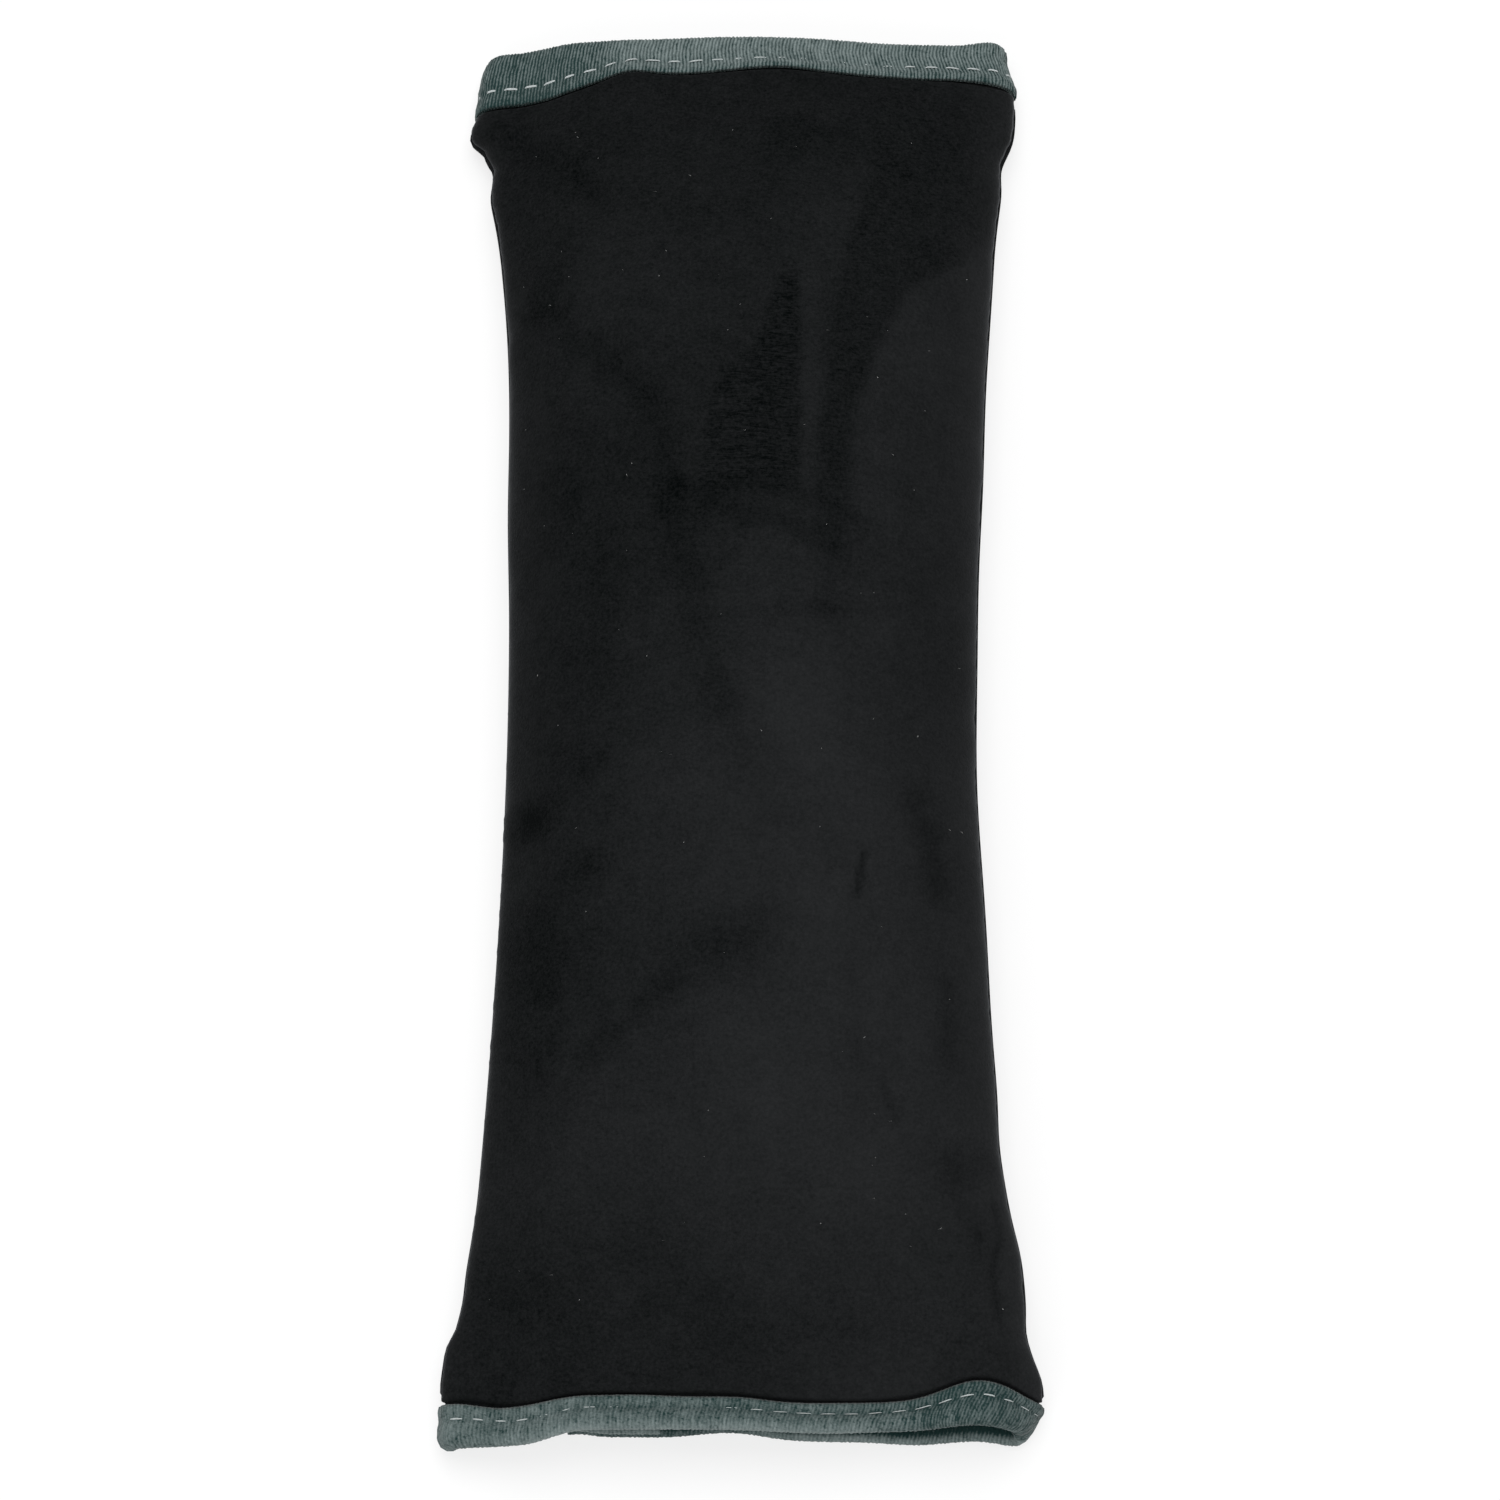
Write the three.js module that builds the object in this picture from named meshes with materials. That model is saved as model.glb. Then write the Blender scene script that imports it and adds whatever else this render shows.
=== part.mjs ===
// A seat belt shoulder pad: a soft sleeve of black velour that closes round the shoulder belt.
//
// One velour panel faces up and one faces down. They are sewn together along both sides, with a thin
// lining caught in the same two seams, and the space between the lining and the upper panel is stuffed.
// The belt lies in the flat channel below the lining. The lower panel is slit lengthwise: its free edge
// laps under a narrow flap, and a hook strip and a loop strip hold the two together. Each mouth of the
// sleeve is bound with a ribbed knit tape, folded over all the layers.
//
// The pad lies on its lower panel. Millimetres, +Z up, X across the pad, Y along it, with the origin on
// the surface it lies on, in the middle of its length and width.

import * as THREE from "three";

// Overall sizes
const PAD_LENGTH = 280;
const WAIST_WIDTH = 90;
const MOUTH_WIDTH = 111.5;
const PAD_THICKNESS = 36;

// Stuffed side of the waist: the radius of the rolled right edge
const SIDE_RADIUS = 10;

// Cloth, tape and fastener thicknesses
const VELOUR_THICKNESS = 1.0;
const LINING_THICKNESS = 0.5;
const TAPE_THICKNESS = 0.8;
const HOOK_THICKNESS = 0.8;
const LOOP_THICKNESS = 0.8;

// Air left between two layers that lie on each other
const LAYER_GAP = 0.3;

// Height of the belt channel in the middle of a mouth, and the radii of a mouth's round ends
const CHANNEL_HEIGHT = 7.0;
const MOUTH_RIGHT_RADIUS = 4.7;
const MOUTH_LEFT_RADIUS = 4.25;

// Ribbed tape: how far it covers the cloth on each face
const TAPE_REACH = 9;

// Closing slit: where the two free edges lie, and how far the hook and loop strips stay from them
const LOWER_PANEL_EDGE_X = -32;
const FLAP_EDGE_X = -15;
const STRIP_MARGIN = 2;
const STRIP_END = 22;

// Stuffing: how far each end of it stays from the mouth, and the length of its rounded end
const STUFFING_END = 26;
const STUFFING_ROUND = 22;

// Fold that stands up beside the right corner of the near mouth
const ARCH_X = 43;
const ARCH_WIDTH = 8;
const ARCH_HEIGHT = 7;
const ARCH_LENGTH = 40;

// The upper layers of the near mouth flare up towards their edge
const NEAR_LIFT = 2.5;
const NEAR_LIFT_LENGTH = 15;

// The left side sinks onto the table where no lower panel lies below it
const SINK_START = 33;
const SINK_END = 46;

// Mouths that don't run straight: how far the tape's inner edge and its fold lie off their line
const FAR_EDGE_BOW = 0.9;
const FAR_CORNER_DIP = 4.1;
const FAR_FOLD_DIP = 1.3;
const NEAR_EDGE_BOW = 2.1;
const NEAR_FOLD_BOW = 0.8;
const NEAR_CORNER_REACH = 1.9;

// Where the plump part runs out at each end, as a distance from the middle
const NEAR_FULL_END = 131;
const FAR_FULL_END = 137;

// Number of steps in the faceted surfaces
const LENGTH_STEPS = 11;
const CROWN_STEPS = 20;
const SIDE_STEPS = 4;
const FLAT_STEPS = 6;
const LEG_STEPS = 3;
const FOLD_STEPS = 6;

// Layers at a mouth, counted from the outside in
const LOWER_STACK = 2 * TAPE_THICKNESS + VELOUR_THICKNESS + 2 * LAYER_GAP;
const UPPER_STACK = LOWER_STACK + LINING_THICKNESS + LAYER_GAP;
const MOUTH_HEIGHT = LOWER_STACK + CHANNEL_HEIGHT + UPPER_STACK;

// Height of the flap's underside above the surface the pad lies on
const CLOSURE_STACK = VELOUR_THICKNESS + HOOK_THICKNESS + LOOP_THICKNESS + 3 * LAYER_GAP;
const FLAP_RISE = Math.max(LOWER_STACK + LAYER_GAP, CLOSURE_STACK);

const SINK_DEPTH = FLAP_RISE - LAYER_GAP / 2;

const STRIP_WIDTH = FLAP_EDGE_X - LOWER_PANEL_EDGE_X - 2 * STRIP_MARGIN;
const STRIP_LENGTH = PAD_LENGTH - 2 * STRIP_END;

const HALF_LENGTH = PAD_LENGTH / 2;
const TAPE_INNER_END = HALF_LENGTH - TAPE_REACH;
const FOLD_REACH = UPPER_STACK / 2;

// 0 below low, 1 above high, and a smooth S between them
function ease(value, low, high) {
  return THREE.MathUtils.smoothstep(value, low, high);
}

// How full the sleeve is at y: 1 in the stuffed middle, 0 where only its layers lie on each other
function fullness(y) {
  const share = Math.min(1, Math.abs(y) / (y < 0 ? NEAR_FULL_END : FAR_FULL_END));
  return Math.pow(1 - Math.pow(share, 2.7), 0.95);
}

// Half of the pad's width at y: a waist, sides that draw apart in a parabola, and flat flared mouths
function halfWidth(y) {
  const share = Math.abs(y) / HALF_LENGTH;
  const spread = 0.8 * share * share + 0.2 * ease(share, 0.66, 0.93);
  return (WAIST_WIDTH + (MOUTH_WIDTH - WAIST_WIDTH) * spread) / 2 - cornerRounding(y);
}

// The tape draws the corners of each mouth in, more and more towards the fold
function cornerRounding(y) {
  const past = Math.max(0, Math.abs(y) - (TAPE_INNER_END - 3)) / (TAPE_REACH + 3);
  return FOLD_REACH * past * past;
}

// Place of x across the standing fold: 1 on its ridge, falling off to both sides
function archShare(x) {
  const across = (x - ARCH_X) / ARCH_WIDTH;
  return Math.exp(-across * across);
}

// Rise of the upper layers at (x, y), above the plain crown: the arch and the flare of the near mouth
function upperRise(x, y) {
  const grown = ease(-y, HALF_LENGTH - ARCH_LENGTH, TAPE_INNER_END);
  const past = Math.max(0, -y - (HALF_LENGTH - NEAR_LIFT_LENGTH)) / NEAR_LIFT_LENGTH;
  return ARCH_HEIGHT * grown * archShare(x) + NEAR_LIFT * past * past;
}

// How far the layers at (x, y) lie along the pad from their place on a straight-edged one
function mouthRun(x, y) {
  const away = Math.abs(y);
  const innerShare = ease(away, HALF_LENGTH - 42, TAPE_INNER_END) * ease(HALF_LENGTH - away, 0, TAPE_REACH);
  const foldShare = ease(away, HALF_LENGTH - 22, HALF_LENGTH);
  if (y > 0) {
    const corner = ease(-x, 20, 40);
    const fold = FAR_FOLD_DIP * (ease(x, 42, 51) - corner);
    return fold * foldShare - (FAR_EDGE_BOW + FAR_CORNER_DIP * corner) * innerShare;
  }
  const corner = ease(-x, 32, 47);
  const fold = NEAR_FOLD_BOW * (1 + archShare(x)) - NEAR_CORNER_REACH * corner;
  return fold * foldShare - NEAR_EDGE_BOW * (1 - archShare(x)) * innerShare;
}

// A point of the wrapped layers, where it comes to rest
function settled(point) {
  const sink = SINK_DEPTH * ease(-point.x, SINK_START, SINK_END);
  return new THREE.Vector3(point.x, point.y + mouthRun(point.x, point.y), point.z - sink);
}

// The cross-section at y, as the round ends and the crown that all layers are wrapped on
function section(y) {
  const full = fullness(y);
  const rightRadius = THREE.MathUtils.lerp(MOUTH_RIGHT_RADIUS, SIDE_RADIUS, full);
  const leftRadius = THREE.MathUtils.lerp(MOUTH_LEFT_RADIUS, SIDE_RADIUS - FLAP_RISE / 2, full);
  const height = MOUTH_HEIGHT + (PAD_THICKNESS - MOUTH_HEIGHT) * full;
  const half = halfWidth(y);
  return {
    rightRadius,
    leftRadius,
    crown: height - rightRadius - leftRadius - FLAP_RISE / 2,
    right: new THREE.Vector2(half - rightRadius, rightRadius),
    left: new THREE.Vector2(leftRadius - half, leftRadius + FLAP_RISE),
  };
}

// A point of the outer surface and the direction that faces out of the pad there
function surfacePoint(centre, radius, normal) {
  return { point: centre.clone().addScaledVector(normal, radius), normal };
}

// Points on an arc round a centre, from one angle to another, in radians
function arcPoints(centre, radius, from, to, steps) {
  const made = [];
  for (let i = 0; i <= steps; i++) {
    const angle = from + ((to - from) * i) / steps;
    made.push(surfacePoint(centre, radius, new THREE.Vector2(Math.cos(angle), Math.sin(angle))));
  }
  return made;
}

// Points on a level stretch that faces down, from one x to another
function levelPoints(fromX, toX, height, steps) {
  const made = [];
  for (let i = 0; i < steps; i++) {
    const x = fromX + ((toX - fromX) * i) / steps;
    made.push({ point: new THREE.Vector2(x, height), normal: new THREE.Vector2(0, -1) });
  }
  return made;
}

// The spine of the crown at y: from the right round end to the left one, over the stuffing
function crownSpine(shape, y) {
  const spine = [];
  for (let i = 0; i <= CROWN_STEPS; i++) {
    const turn = (Math.PI * i) / CROWN_STEPS;
    const across = (1 - Math.cos(turn)) / 2;
    const point = shape.right.clone().lerp(shape.left, across);
    const window = Math.pow(Math.sin(turn), 0.6);
    point.y += shape.crown * Math.pow(Math.sin(turn), 1.45) + window * upperRise(point.x, y);
    spine.push({ point, radius: THREE.MathUtils.lerp(shape.rightRadius, shape.leftRadius, across) });
  }
  return spine;
}

// Normals of a spine that runs from right to left, each from the points beside it
function spineNormals(spine) {
  return spine.map((item, i) => {
    const before = spine[Math.max(0, i - 1)].point;
    const after = spine[Math.min(spine.length - 1, i + 1)].point;
    const along = after.clone().sub(before).normalize();
    return new THREE.Vector2(along.y, -along.x);
  });
}

// Half of the seam's opening, as an angle on a round end, which lets the lining's edge through
function seamAngle(radius) {
  return (LINING_THICKNESS / 2 + LAYER_GAP) / radius;
}

// Outer line of the lower panel at y: from its free edge, under the pad, up to the right seam
function lowerLine(y) {
  const shape = section(y);
  const flat = levelPoints(LOWER_PANEL_EDGE_X, shape.right.x, 0, FLAT_STEPS);
  const seam = -seamAngle(shape.rightRadius);
  return flat.concat(arcPoints(shape.right, shape.rightRadius, -Math.PI / 2, seam, SIDE_STEPS));
}

// Outer line of the upper panel at y: from the right seam, over the crown, down to the left seam
function upperLine(y) {
  const shape = section(y);
  const spine = crownSpine(shape, y);
  const normals = spineNormals(spine);
  const crown = spine.map((item, i) => surfacePoint(item.point, item.radius, normals[i]));
  const first = Math.atan2(normals[0].y, normals[0].x);
  const last = Math.atan2(normals.at(-1).y, normals.at(-1).x);
  const rightSeam = seamAngle(shape.rightRadius);
  const leftSeam = Math.PI - seamAngle(shape.leftRadius);
  const rightSide = arcPoints(shape.right, shape.rightRadius, rightSeam, first, SIDE_STEPS);
  const leftSide = arcPoints(shape.left, shape.leftRadius, last, leftSeam, SIDE_STEPS);
  return rightSide.slice(0, -1).concat(crown, leftSide.slice(1));
}

// Outer line of the closing flap at y: from the left seam, down and in to its free edge
function flapLine(y) {
  const shape = section(y);
  const seam = Math.PI + seamAngle(shape.leftRadius);
  const side = arcPoints(shape.left, shape.leftRadius, seam, 1.5 * Math.PI, SIDE_STEPS);
  const flat = levelPoints(FLAP_EDGE_X, shape.left.x, FLAP_RISE, FLAT_STEPS).reverse();
  return side.concat(flat);
}

// A line moved inwards, through the layers, and placed at y
function inset(line, depth, y) {
  return line.map(({ point, normal }) => {
    const moved = point.clone().addScaledVector(normal, -depth);
    return new THREE.Vector3(moved.x, y, moved.y);
  });
}

// Distances of the tape's legs from the mouth's edge, from its free edge to where it folds
function legBacks() {
  const made = [];
  for (let i = 0; i <= LEG_STEPS; i++) {
    made.push(TAPE_REACH - ((TAPE_REACH - FOLD_REACH) * i) / LEG_STEPS);
  }
  return made;
}

// Lengthwise stations of the cloth pieces: closer together towards the mouths, as the tape under it
function stations() {
  const open = TAPE_INNER_END - 1;
  const made = [];
  for (let i = -LENGTH_STEPS; i <= LENGTH_STEPS; i++) {
    made.push(open * Math.sin((Math.PI / 2) * (i / LENGTH_STEPS)));
  }
  const covered = legBacks().map((back) => HALF_LENGTH - back);
  return [...covered.map((y) => -y).reverse(), ...made, ...covered];
}

// A closed sheet between two grids of points with the same rows and columns, which are settled first
function sheet(outer, inner) {
  const rows = outer.length;
  const columns = outer[0].length;
  const points = [...outer.flat(), ...inner.flat()].map(settled);
  const positions = points.flatMap((p) => p.toArray());
  const outerAt = (i, j) => i * columns + j;
  const innerAt = (i, j) => rows * columns + outerAt(i, j);
  const faces = [];
  const quad = (a, b, c, d) => faces.push(a, b, c, a, c, d);
  for (let i = 0; i < rows - 1; i++) {
    for (let j = 0; j < columns - 1; j++) {
      quad(outerAt(i, j), outerAt(i, j + 1), outerAt(i + 1, j + 1), outerAt(i + 1, j));
      quad(innerAt(i, j), innerAt(i + 1, j), innerAt(i + 1, j + 1), innerAt(i, j + 1));
    }
    const last = columns - 1;
    quad(outerAt(i, 0), outerAt(i + 1, 0), innerAt(i + 1, 0), innerAt(i, 0));
    quad(outerAt(i, last), innerAt(i, last), innerAt(i + 1, last), outerAt(i + 1, last));
  }
  for (let j = 0; j < columns - 1; j++) {
    const last = rows - 1;
    quad(outerAt(0, j), innerAt(0, j), innerAt(0, j + 1), outerAt(0, j + 1));
    quad(outerAt(last, j), outerAt(last, j + 1), innerAt(last, j + 1), innerAt(last, j));
  }
  return closedGeometry(positions, faces);
}

// Signed volume of a closed list of triangles: positive when its faces point out
function signedVolume(positions, faces) {
  const corner = (index) => new THREE.Vector3().fromArray(positions, 3 * index);
  let volume = 0;
  for (let i = 0; i < faces.length; i += 3) {
    volume += corner(faces[i]).dot(corner(faces[i + 1]).cross(corner(faces[i + 2]))) / 6;
  }
  return volume;
}

// Geometry from points and triangles, with its faces turned to point out
function closedGeometry(positions, faces) {
  const facing = signedVolume(positions, faces) < 0 ? faces.slice().reverse() : faces;
  const geometry = new THREE.BufferGeometry();
  geometry.setAttribute("position", new THREE.Float32BufferAttribute(positions, 3));
  geometry.setIndex(facing);
  geometry.computeVertexNormals();
  return geometry;
}

// How deep a panel lies below the pad's outer line at y: it dips under the tape at each mouth
function panelDepth(y) {
  return (TAPE_THICKNESS + LAYER_GAP) * ease(Math.abs(y), TAPE_INNER_END - 9, TAPE_INNER_END - 1);
}

// A velour panel on one of the outer lines
function velourPanel(line) {
  const ys = stations();
  const outer = ys.map((y) => inset(line(y), panelDepth(y), y));
  const inner = ys.map((y) => inset(line(y), panelDepth(y) + VELOUR_THICKNESS, y));
  return sheet(outer, inner);
}

// How closely the lining follows the upper panel at y: 1 at the mouths, 0 below the stuffing
function liningRise(y) {
  return ease(Math.abs(y), HALF_LENGTH * 0.66, TAPE_INNER_END - 2);
}

// Distance of the lining's edge from the outer line: in the seam, and inside it below the tape
function liningEdge(y) {
  const inSeam = LINING_THICKNESS + LAYER_GAP;
  const belowTape = panelDepth(HALF_LENGTH) + VELOUR_THICKNESS + LAYER_GAP;
  return inSeam + (belowTape - inSeam) * (panelDepth(y) / panelDepth(HALF_LENGTH));
}

// One face of the lining at y, with depth 0 on its upper face
function liningPoints(y, depth) {
  const shape = section(y);
  const under = panelDepth(y) + VELOUR_THICKNESS + LAYER_GAP;
  const below = inset(upperLine(y), under, y);
  const hugging = inset(upperLine(y), under + depth, y);
  const right = shape.right.x + shape.rightRadius - liningEdge(y);
  const left = shape.left.x - shape.leftRadius + liningEdge(y);
  const last = hugging.length - 1;
  return hugging.map((point, j) => {
    const x = j === 0 ? right : j === last ? left : below[j].x;
    const across = (x - right) / (left - right);
    const seamHeight = THREE.MathUtils.lerp(shape.right.y, shape.left.y, across);
    const straight = new THREE.Vector3(x, y, seamHeight + LINING_THICKNESS / 2 - depth);
    const follows = Math.min(j, last - j) > 1;
    return follows ? straight.lerp(point, liningRise(y)) : straight;
  });
}

// Lining that carries the stuffing and forms the roof of the belt channel
function channelLining() {
  const ys = stations();
  const upper = ys.map((y) => liningPoints(y, 0));
  const lower = ys.map((y) => liningPoints(y, LINING_THICKNESS));
  return sheet(upper, lower);
}

// How much of the space the stuffing takes up at y: all of it, but for its rounded ends
function stuffingShare(y) {
  const end = HALF_LENGTH - STUFFING_END;
  const past = Math.max(0, Math.abs(y) - (end - STUFFING_ROUND)) / STUFFING_ROUND;
  return 0.3 + 0.7 * Math.sqrt(1 - Math.min(1, past * past));
}

// Stuffing: fills the space between the lining and the upper panel, up to near the side seams
function paddingCore() {
  const upper = [];
  const lower = [];
  for (const y of stations().filter((at) => Math.abs(at) < HALF_LENGTH - STUFFING_END)) {
    const under = panelDepth(y) + VELOUR_THICKNESS + LAYER_GAP;
    const roof = inset(upperLine(y), under, y).slice(2, -2);
    const floor = liningPoints(y, 0).slice(2, -2);
    for (const point of floor) point.z += LAYER_GAP;
    lower.push(floor);
    upper.push(roof.map((point, j) => floor[j].clone().lerp(point, stuffingShare(y))));
  }
  return sheet(upper, lower);
}

// Depth of the folded tape along the whole wrap: it grows where the lining joins the layers
function tapeDepths(counts) {
  const depths = [];
  const sideShare = (step) => Math.min(1, Math.max(0, step / SIDE_STEPS));
  for (let j = 0; j < counts.lower; j++) {
    const share = sideShare(j - (counts.lower - 1 - SIDE_STEPS));
    depths.push(LOWER_STACK + (UPPER_STACK - LOWER_STACK) * share);
  }
  for (let j = 0; j < counts.upper; j++) depths.push(UPPER_STACK);
  for (let j = 0; j < counts.flap; j++) {
    depths.push(UPPER_STACK + (LOWER_STACK - UPPER_STACK) * sideShare(j));
  }
  return depths;
}

// The folded tape's section, as distances in from the mouth's edge and depths into the layers
function tapeFold(depth, skin) {
  const legs = legBacks().slice(0, -1);
  const outer = legs.map((back) => ({ back, deep: skin }));
  const inner = legs.reverse().map((back) => ({ back, deep: depth - skin }));
  const fold = [];
  for (let i = 0; i <= FOLD_STEPS; i++) {
    const turn = (Math.PI * i) / FOLD_STEPS;
    fold.push({
      back: FOLD_REACH - (FOLD_REACH - skin) * Math.sin(turn),
      deep: depth / 2 - (depth / 2 - skin) * Math.cos(turn),
    });
  }
  return [...outer, ...fold, ...inner];
}

// Ribbed knit tape folded over one mouth, from one free edge of the slit right round to the other
function mouthBinding(side) {
  const wrapAt = (y) => [...lowerLine(y), ...upperLine(y), ...flapLine(y)];
  const middle = HALF_LENGTH - TAPE_REACH / 2;
  const depths = tapeDepths({
    lower: lowerLine(middle).length,
    upper: upperLine(middle).length,
    flap: flapLine(middle).length,
  });
  const face = (skin) =>
    depths.map((depth, j) =>
      tapeFold(depth, skin).map(({ back, deep }) => {
        const y = side * (HALF_LENGTH - back);
        return inset([wrapAt(y)[j]], deep, y)[0];
      }),
    );
  return sheet(face(0), face(TAPE_THICKNESS));
}

// A fastener strip that lies flat on one of the slit's free edges
function fastenerStrip(thickness, underside) {
  const geometry = new THREE.BoxGeometry(STRIP_WIDTH, STRIP_LENGTH, thickness);
  const centreX = (LOWER_PANEL_EDGE_X + FLAP_EDGE_X) / 2;
  geometry.translate(centreX, 0, underside + thickness / 2);
  return geometry;
}

function cloth(colour, roughness) {
  return new THREE.MeshStandardMaterial({ color: colour, roughness, metalness: 0 });
}

const velour = cloth("#1f2021", 0.95);
const ribKnit = cloth("#556463", 0.9);
const liningCloth = cloth("#17181a", 0.85);
const fibreFill = cloth("#e4e4e0", 1);
const fastener = cloth("#141516", 0.8);

const pad = new THREE.Group();

function place(name, geometry, material) {
  const mesh = new THREE.Mesh(geometry, material);
  mesh.name = name;
  pad.add(mesh);
}

const hookUnderside = VELOUR_THICKNESS + LAYER_GAP;
const loopUnderside = FLAP_RISE - LAYER_GAP - LOOP_THICKNESS;

place("upper_panel", velourPanel(upperLine), velour);
place("lower_panel", velourPanel(lowerLine), velour);
place("closing_flap", velourPanel(flapLine), velour);
place("channel_lining", channelLining(), liningCloth);
place("padding_core", paddingCore(), fibreFill);
place("hook_strip", fastenerStrip(HOOK_THICKNESS, hookUnderside), fastener);
place("loop_strip", fastenerStrip(LOOP_THICKNESS, loopUnderside), fastener);
place("near_mouth_binding", mouthBinding(-1), ribKnit);
place("far_mouth_binding", mouthBinding(1), ribKnit);

export default pad;
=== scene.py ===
"""A seat belt shoulder pad: a stuffed sleeve of black velour with ribbed grey-teal bindings.

Lengths below are in millimetres, in the part's own frame: X across the pad, Y along it, Z up.
"""

import bpy
import mathutils
import numpy as np
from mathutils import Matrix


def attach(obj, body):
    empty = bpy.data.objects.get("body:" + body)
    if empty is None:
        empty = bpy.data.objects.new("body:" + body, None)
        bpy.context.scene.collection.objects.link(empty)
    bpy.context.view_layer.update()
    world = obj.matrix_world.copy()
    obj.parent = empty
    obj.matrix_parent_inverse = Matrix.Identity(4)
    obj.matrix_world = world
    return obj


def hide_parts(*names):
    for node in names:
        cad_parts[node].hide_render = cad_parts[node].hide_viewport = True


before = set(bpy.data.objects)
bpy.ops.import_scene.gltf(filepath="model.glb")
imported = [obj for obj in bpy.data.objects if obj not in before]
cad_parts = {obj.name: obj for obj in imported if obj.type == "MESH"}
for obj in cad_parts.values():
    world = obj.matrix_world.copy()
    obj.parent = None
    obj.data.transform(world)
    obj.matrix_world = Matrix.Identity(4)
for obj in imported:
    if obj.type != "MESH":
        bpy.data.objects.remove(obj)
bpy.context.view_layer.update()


# The upper velour panel: the plump face. Short-pile microsuede, cut to an hourglass, drawn tight over
# the stuffing and turned in along both side seams. Its pile shows each stroke of a hand as a lighter
# or darker mark, and its colour also carries painted shade and light for how the crown faces the lamps,
# painted shade in its creases and dimples and a painted sheen along its side seams. Its ends run in
# under the ribbed bindings.

HALF_LENGTH = 140.0
WAIST_WIDTH = 90.0
MOUTH_WIDTH = 111.5
THICKNESS = 36.0
SIDE_RADIUS = 10.0

VELOUR = 1.0
LINING = 0.5
TAPE = 0.8
GAP = 0.3
TAPE_REACH = 9.0

# Heights of the stacked layers at a mouth, and the round ends of its flattened opening.
CHANNEL_HEIGHT = 7.0
LOWER_STACK = 2 * TAPE + VELOUR + 2 * GAP
UPPER_STACK = LOWER_STACK + LINING + GAP
MOUTH_HEIGHT = LOWER_STACK + CHANNEL_HEIGHT + UPPER_STACK
MOUTH_RIGHT_RADIUS = 4.7
MOUTH_LEFT_RADIUS = 4.25
FOLD_REACH = UPPER_STACK / 2
TAPE_EDGE = HALF_LENGTH - TAPE_REACH
CLOTH_END = HALF_LENGTH - FOLD_REACH

# The closure: the lower panel laps over the flap, and the left side sinks where only the flap lies.
FLAP_RISE = 3.5
SINK = FLAP_RISE - GAP / 2
SINK_START = 33.0
SINK_END = 46.0
LOWER_EDGE_X = -32.0
FLAP_EDGE_X = -15.0

# The fold that stands up beside the near right corner, and the near mouth's edge, which curls up.
ARCH_X = 43.0
ARCH_WIDTH = 8.0
ARCH_HEIGHT = 7.0
ARCH_LENGTH = 40.0
NEAR_LIFT = 2.5
NEAR_LIFT_LENGTH = 15.0

# Where the stuffing thins out to nothing, towards the near and the far mouth.
NEAR_FULL_END = 131.0
FAR_FULL_END = 137.0

# How far before the tape the corners start to round, and from where along the pad the tape's inner edge,
# its fold and the tuck under the near mouth wander.
CORNER_LEAD = 3.0
TAPE_EDGE_START = 98.0
FOLD_START = 118.0
TUCK_START = 126.0


def ease(value, low, high):
    """0 below low, 1 above high and a smooth S between them."""
    t = np.clip((value - low) / (high - low), 0, 1)
    return t * t * (3 - 2 * t)


def hill(value, centre, width):
    """A bell: the exponential of minus the square of the distance from the centre over the width."""
    return np.exp(-(((value - centre) / width) ** 2))


def fullness(y):
    """How plump the sleeve is: 1 in the middle, falling with a power of the distance to 0 at the mouths."""
    share = np.minimum(1, np.abs(y) / np.where(y < 0, NEAR_FULL_END, FAR_FULL_END))
    return (1 - share**2.7) ** 0.95


def waves(place, level, bells, steps):
    """A wavy line: a level, plus bells given as height, middle and width, plus smooth steps given as
    height, start and end."""
    total = level + sum(height * hill(place, middle, width) for height, middle, width in bells)
    return total + sum(height * ease(place, start, end) for height, start, end in steps)


# How far each side stands out from its plain curve, along y: where the cloth sags, where the side seam
# draws it in, and what the corners of the bindings do.
RIGHT_SIDE = (
    0.0,
    (
        (0.9, 88, 34), (0.5, 122, 6), (0.5, 45, 16), (-1.1, 115, 5), (-0.7, -16, 20), (-0.3, -64, 16),
        (-0.6, -86, 8), (0.6, -106, 6), (-0.9, -119, 4),
    ),
    ((0.6, -122, -127), (-2.1, -129, -140), (-1.3, 133, 137), (0.9, 137, 140)),
)
LEFT_SIDE = (
    0.0,
    (
        (1.3, 124, 4.2), (-1.9, 121.8, 2.5), (-0.9, 117.3, 2.6), (-1.5, 114.5, 4.5), (0.3, 38, 14),
        (-1.0, 76, 28), (0.3, -60, 50), (-0.4, -114, 4), (-0.35, -132.5, 3),
    ),
    ((1.2, -118, -122.5), (0.2, -134, -140), (-0.9, 127, 133), (-0.9, 133, 139)),
)


def half_width(y, side):
    """Half of the width on one side: a parabola, a flare at the mouths, rounded corners, and the waves
    of that side."""
    share = np.abs(y) / HALF_LENGTH
    spread = 0.8 * share**2 + 0.2 * ease(share, 0.66, 0.93)
    corner = np.maximum(0, np.abs(y) - TAPE_EDGE + CORNER_LEAD) / (TAPE_REACH + CORNER_LEAD)
    stands_out = waves(y, *(RIGHT_SIDE if side > 0 else LEFT_SIDE))
    return (WAIST_WIDTH + (MOUTH_WIDTH - WAIST_WIDTH) * spread) / 2 - FOLD_REACH * corner**2 + stands_out


def upper_rise(x, y):
    """Rise of the upper layers over the plain crown: a bell across the pad for the standing fold, growing
    towards the near mouth, and a parabola for the edge that curls up."""
    curl = NEAR_LIFT * (np.maximum(0, -y - HALF_LENGTH + NEAR_LIFT_LENGTH) / NEAR_LIFT_LENGTH) ** 2
    return ARCH_HEIGHT * ease(-y, HALF_LENGTH - ARCH_LENGTH, TAPE_EDGE) * hill(x, ARCH_X, ARCH_WIDTH) + curl


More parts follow.
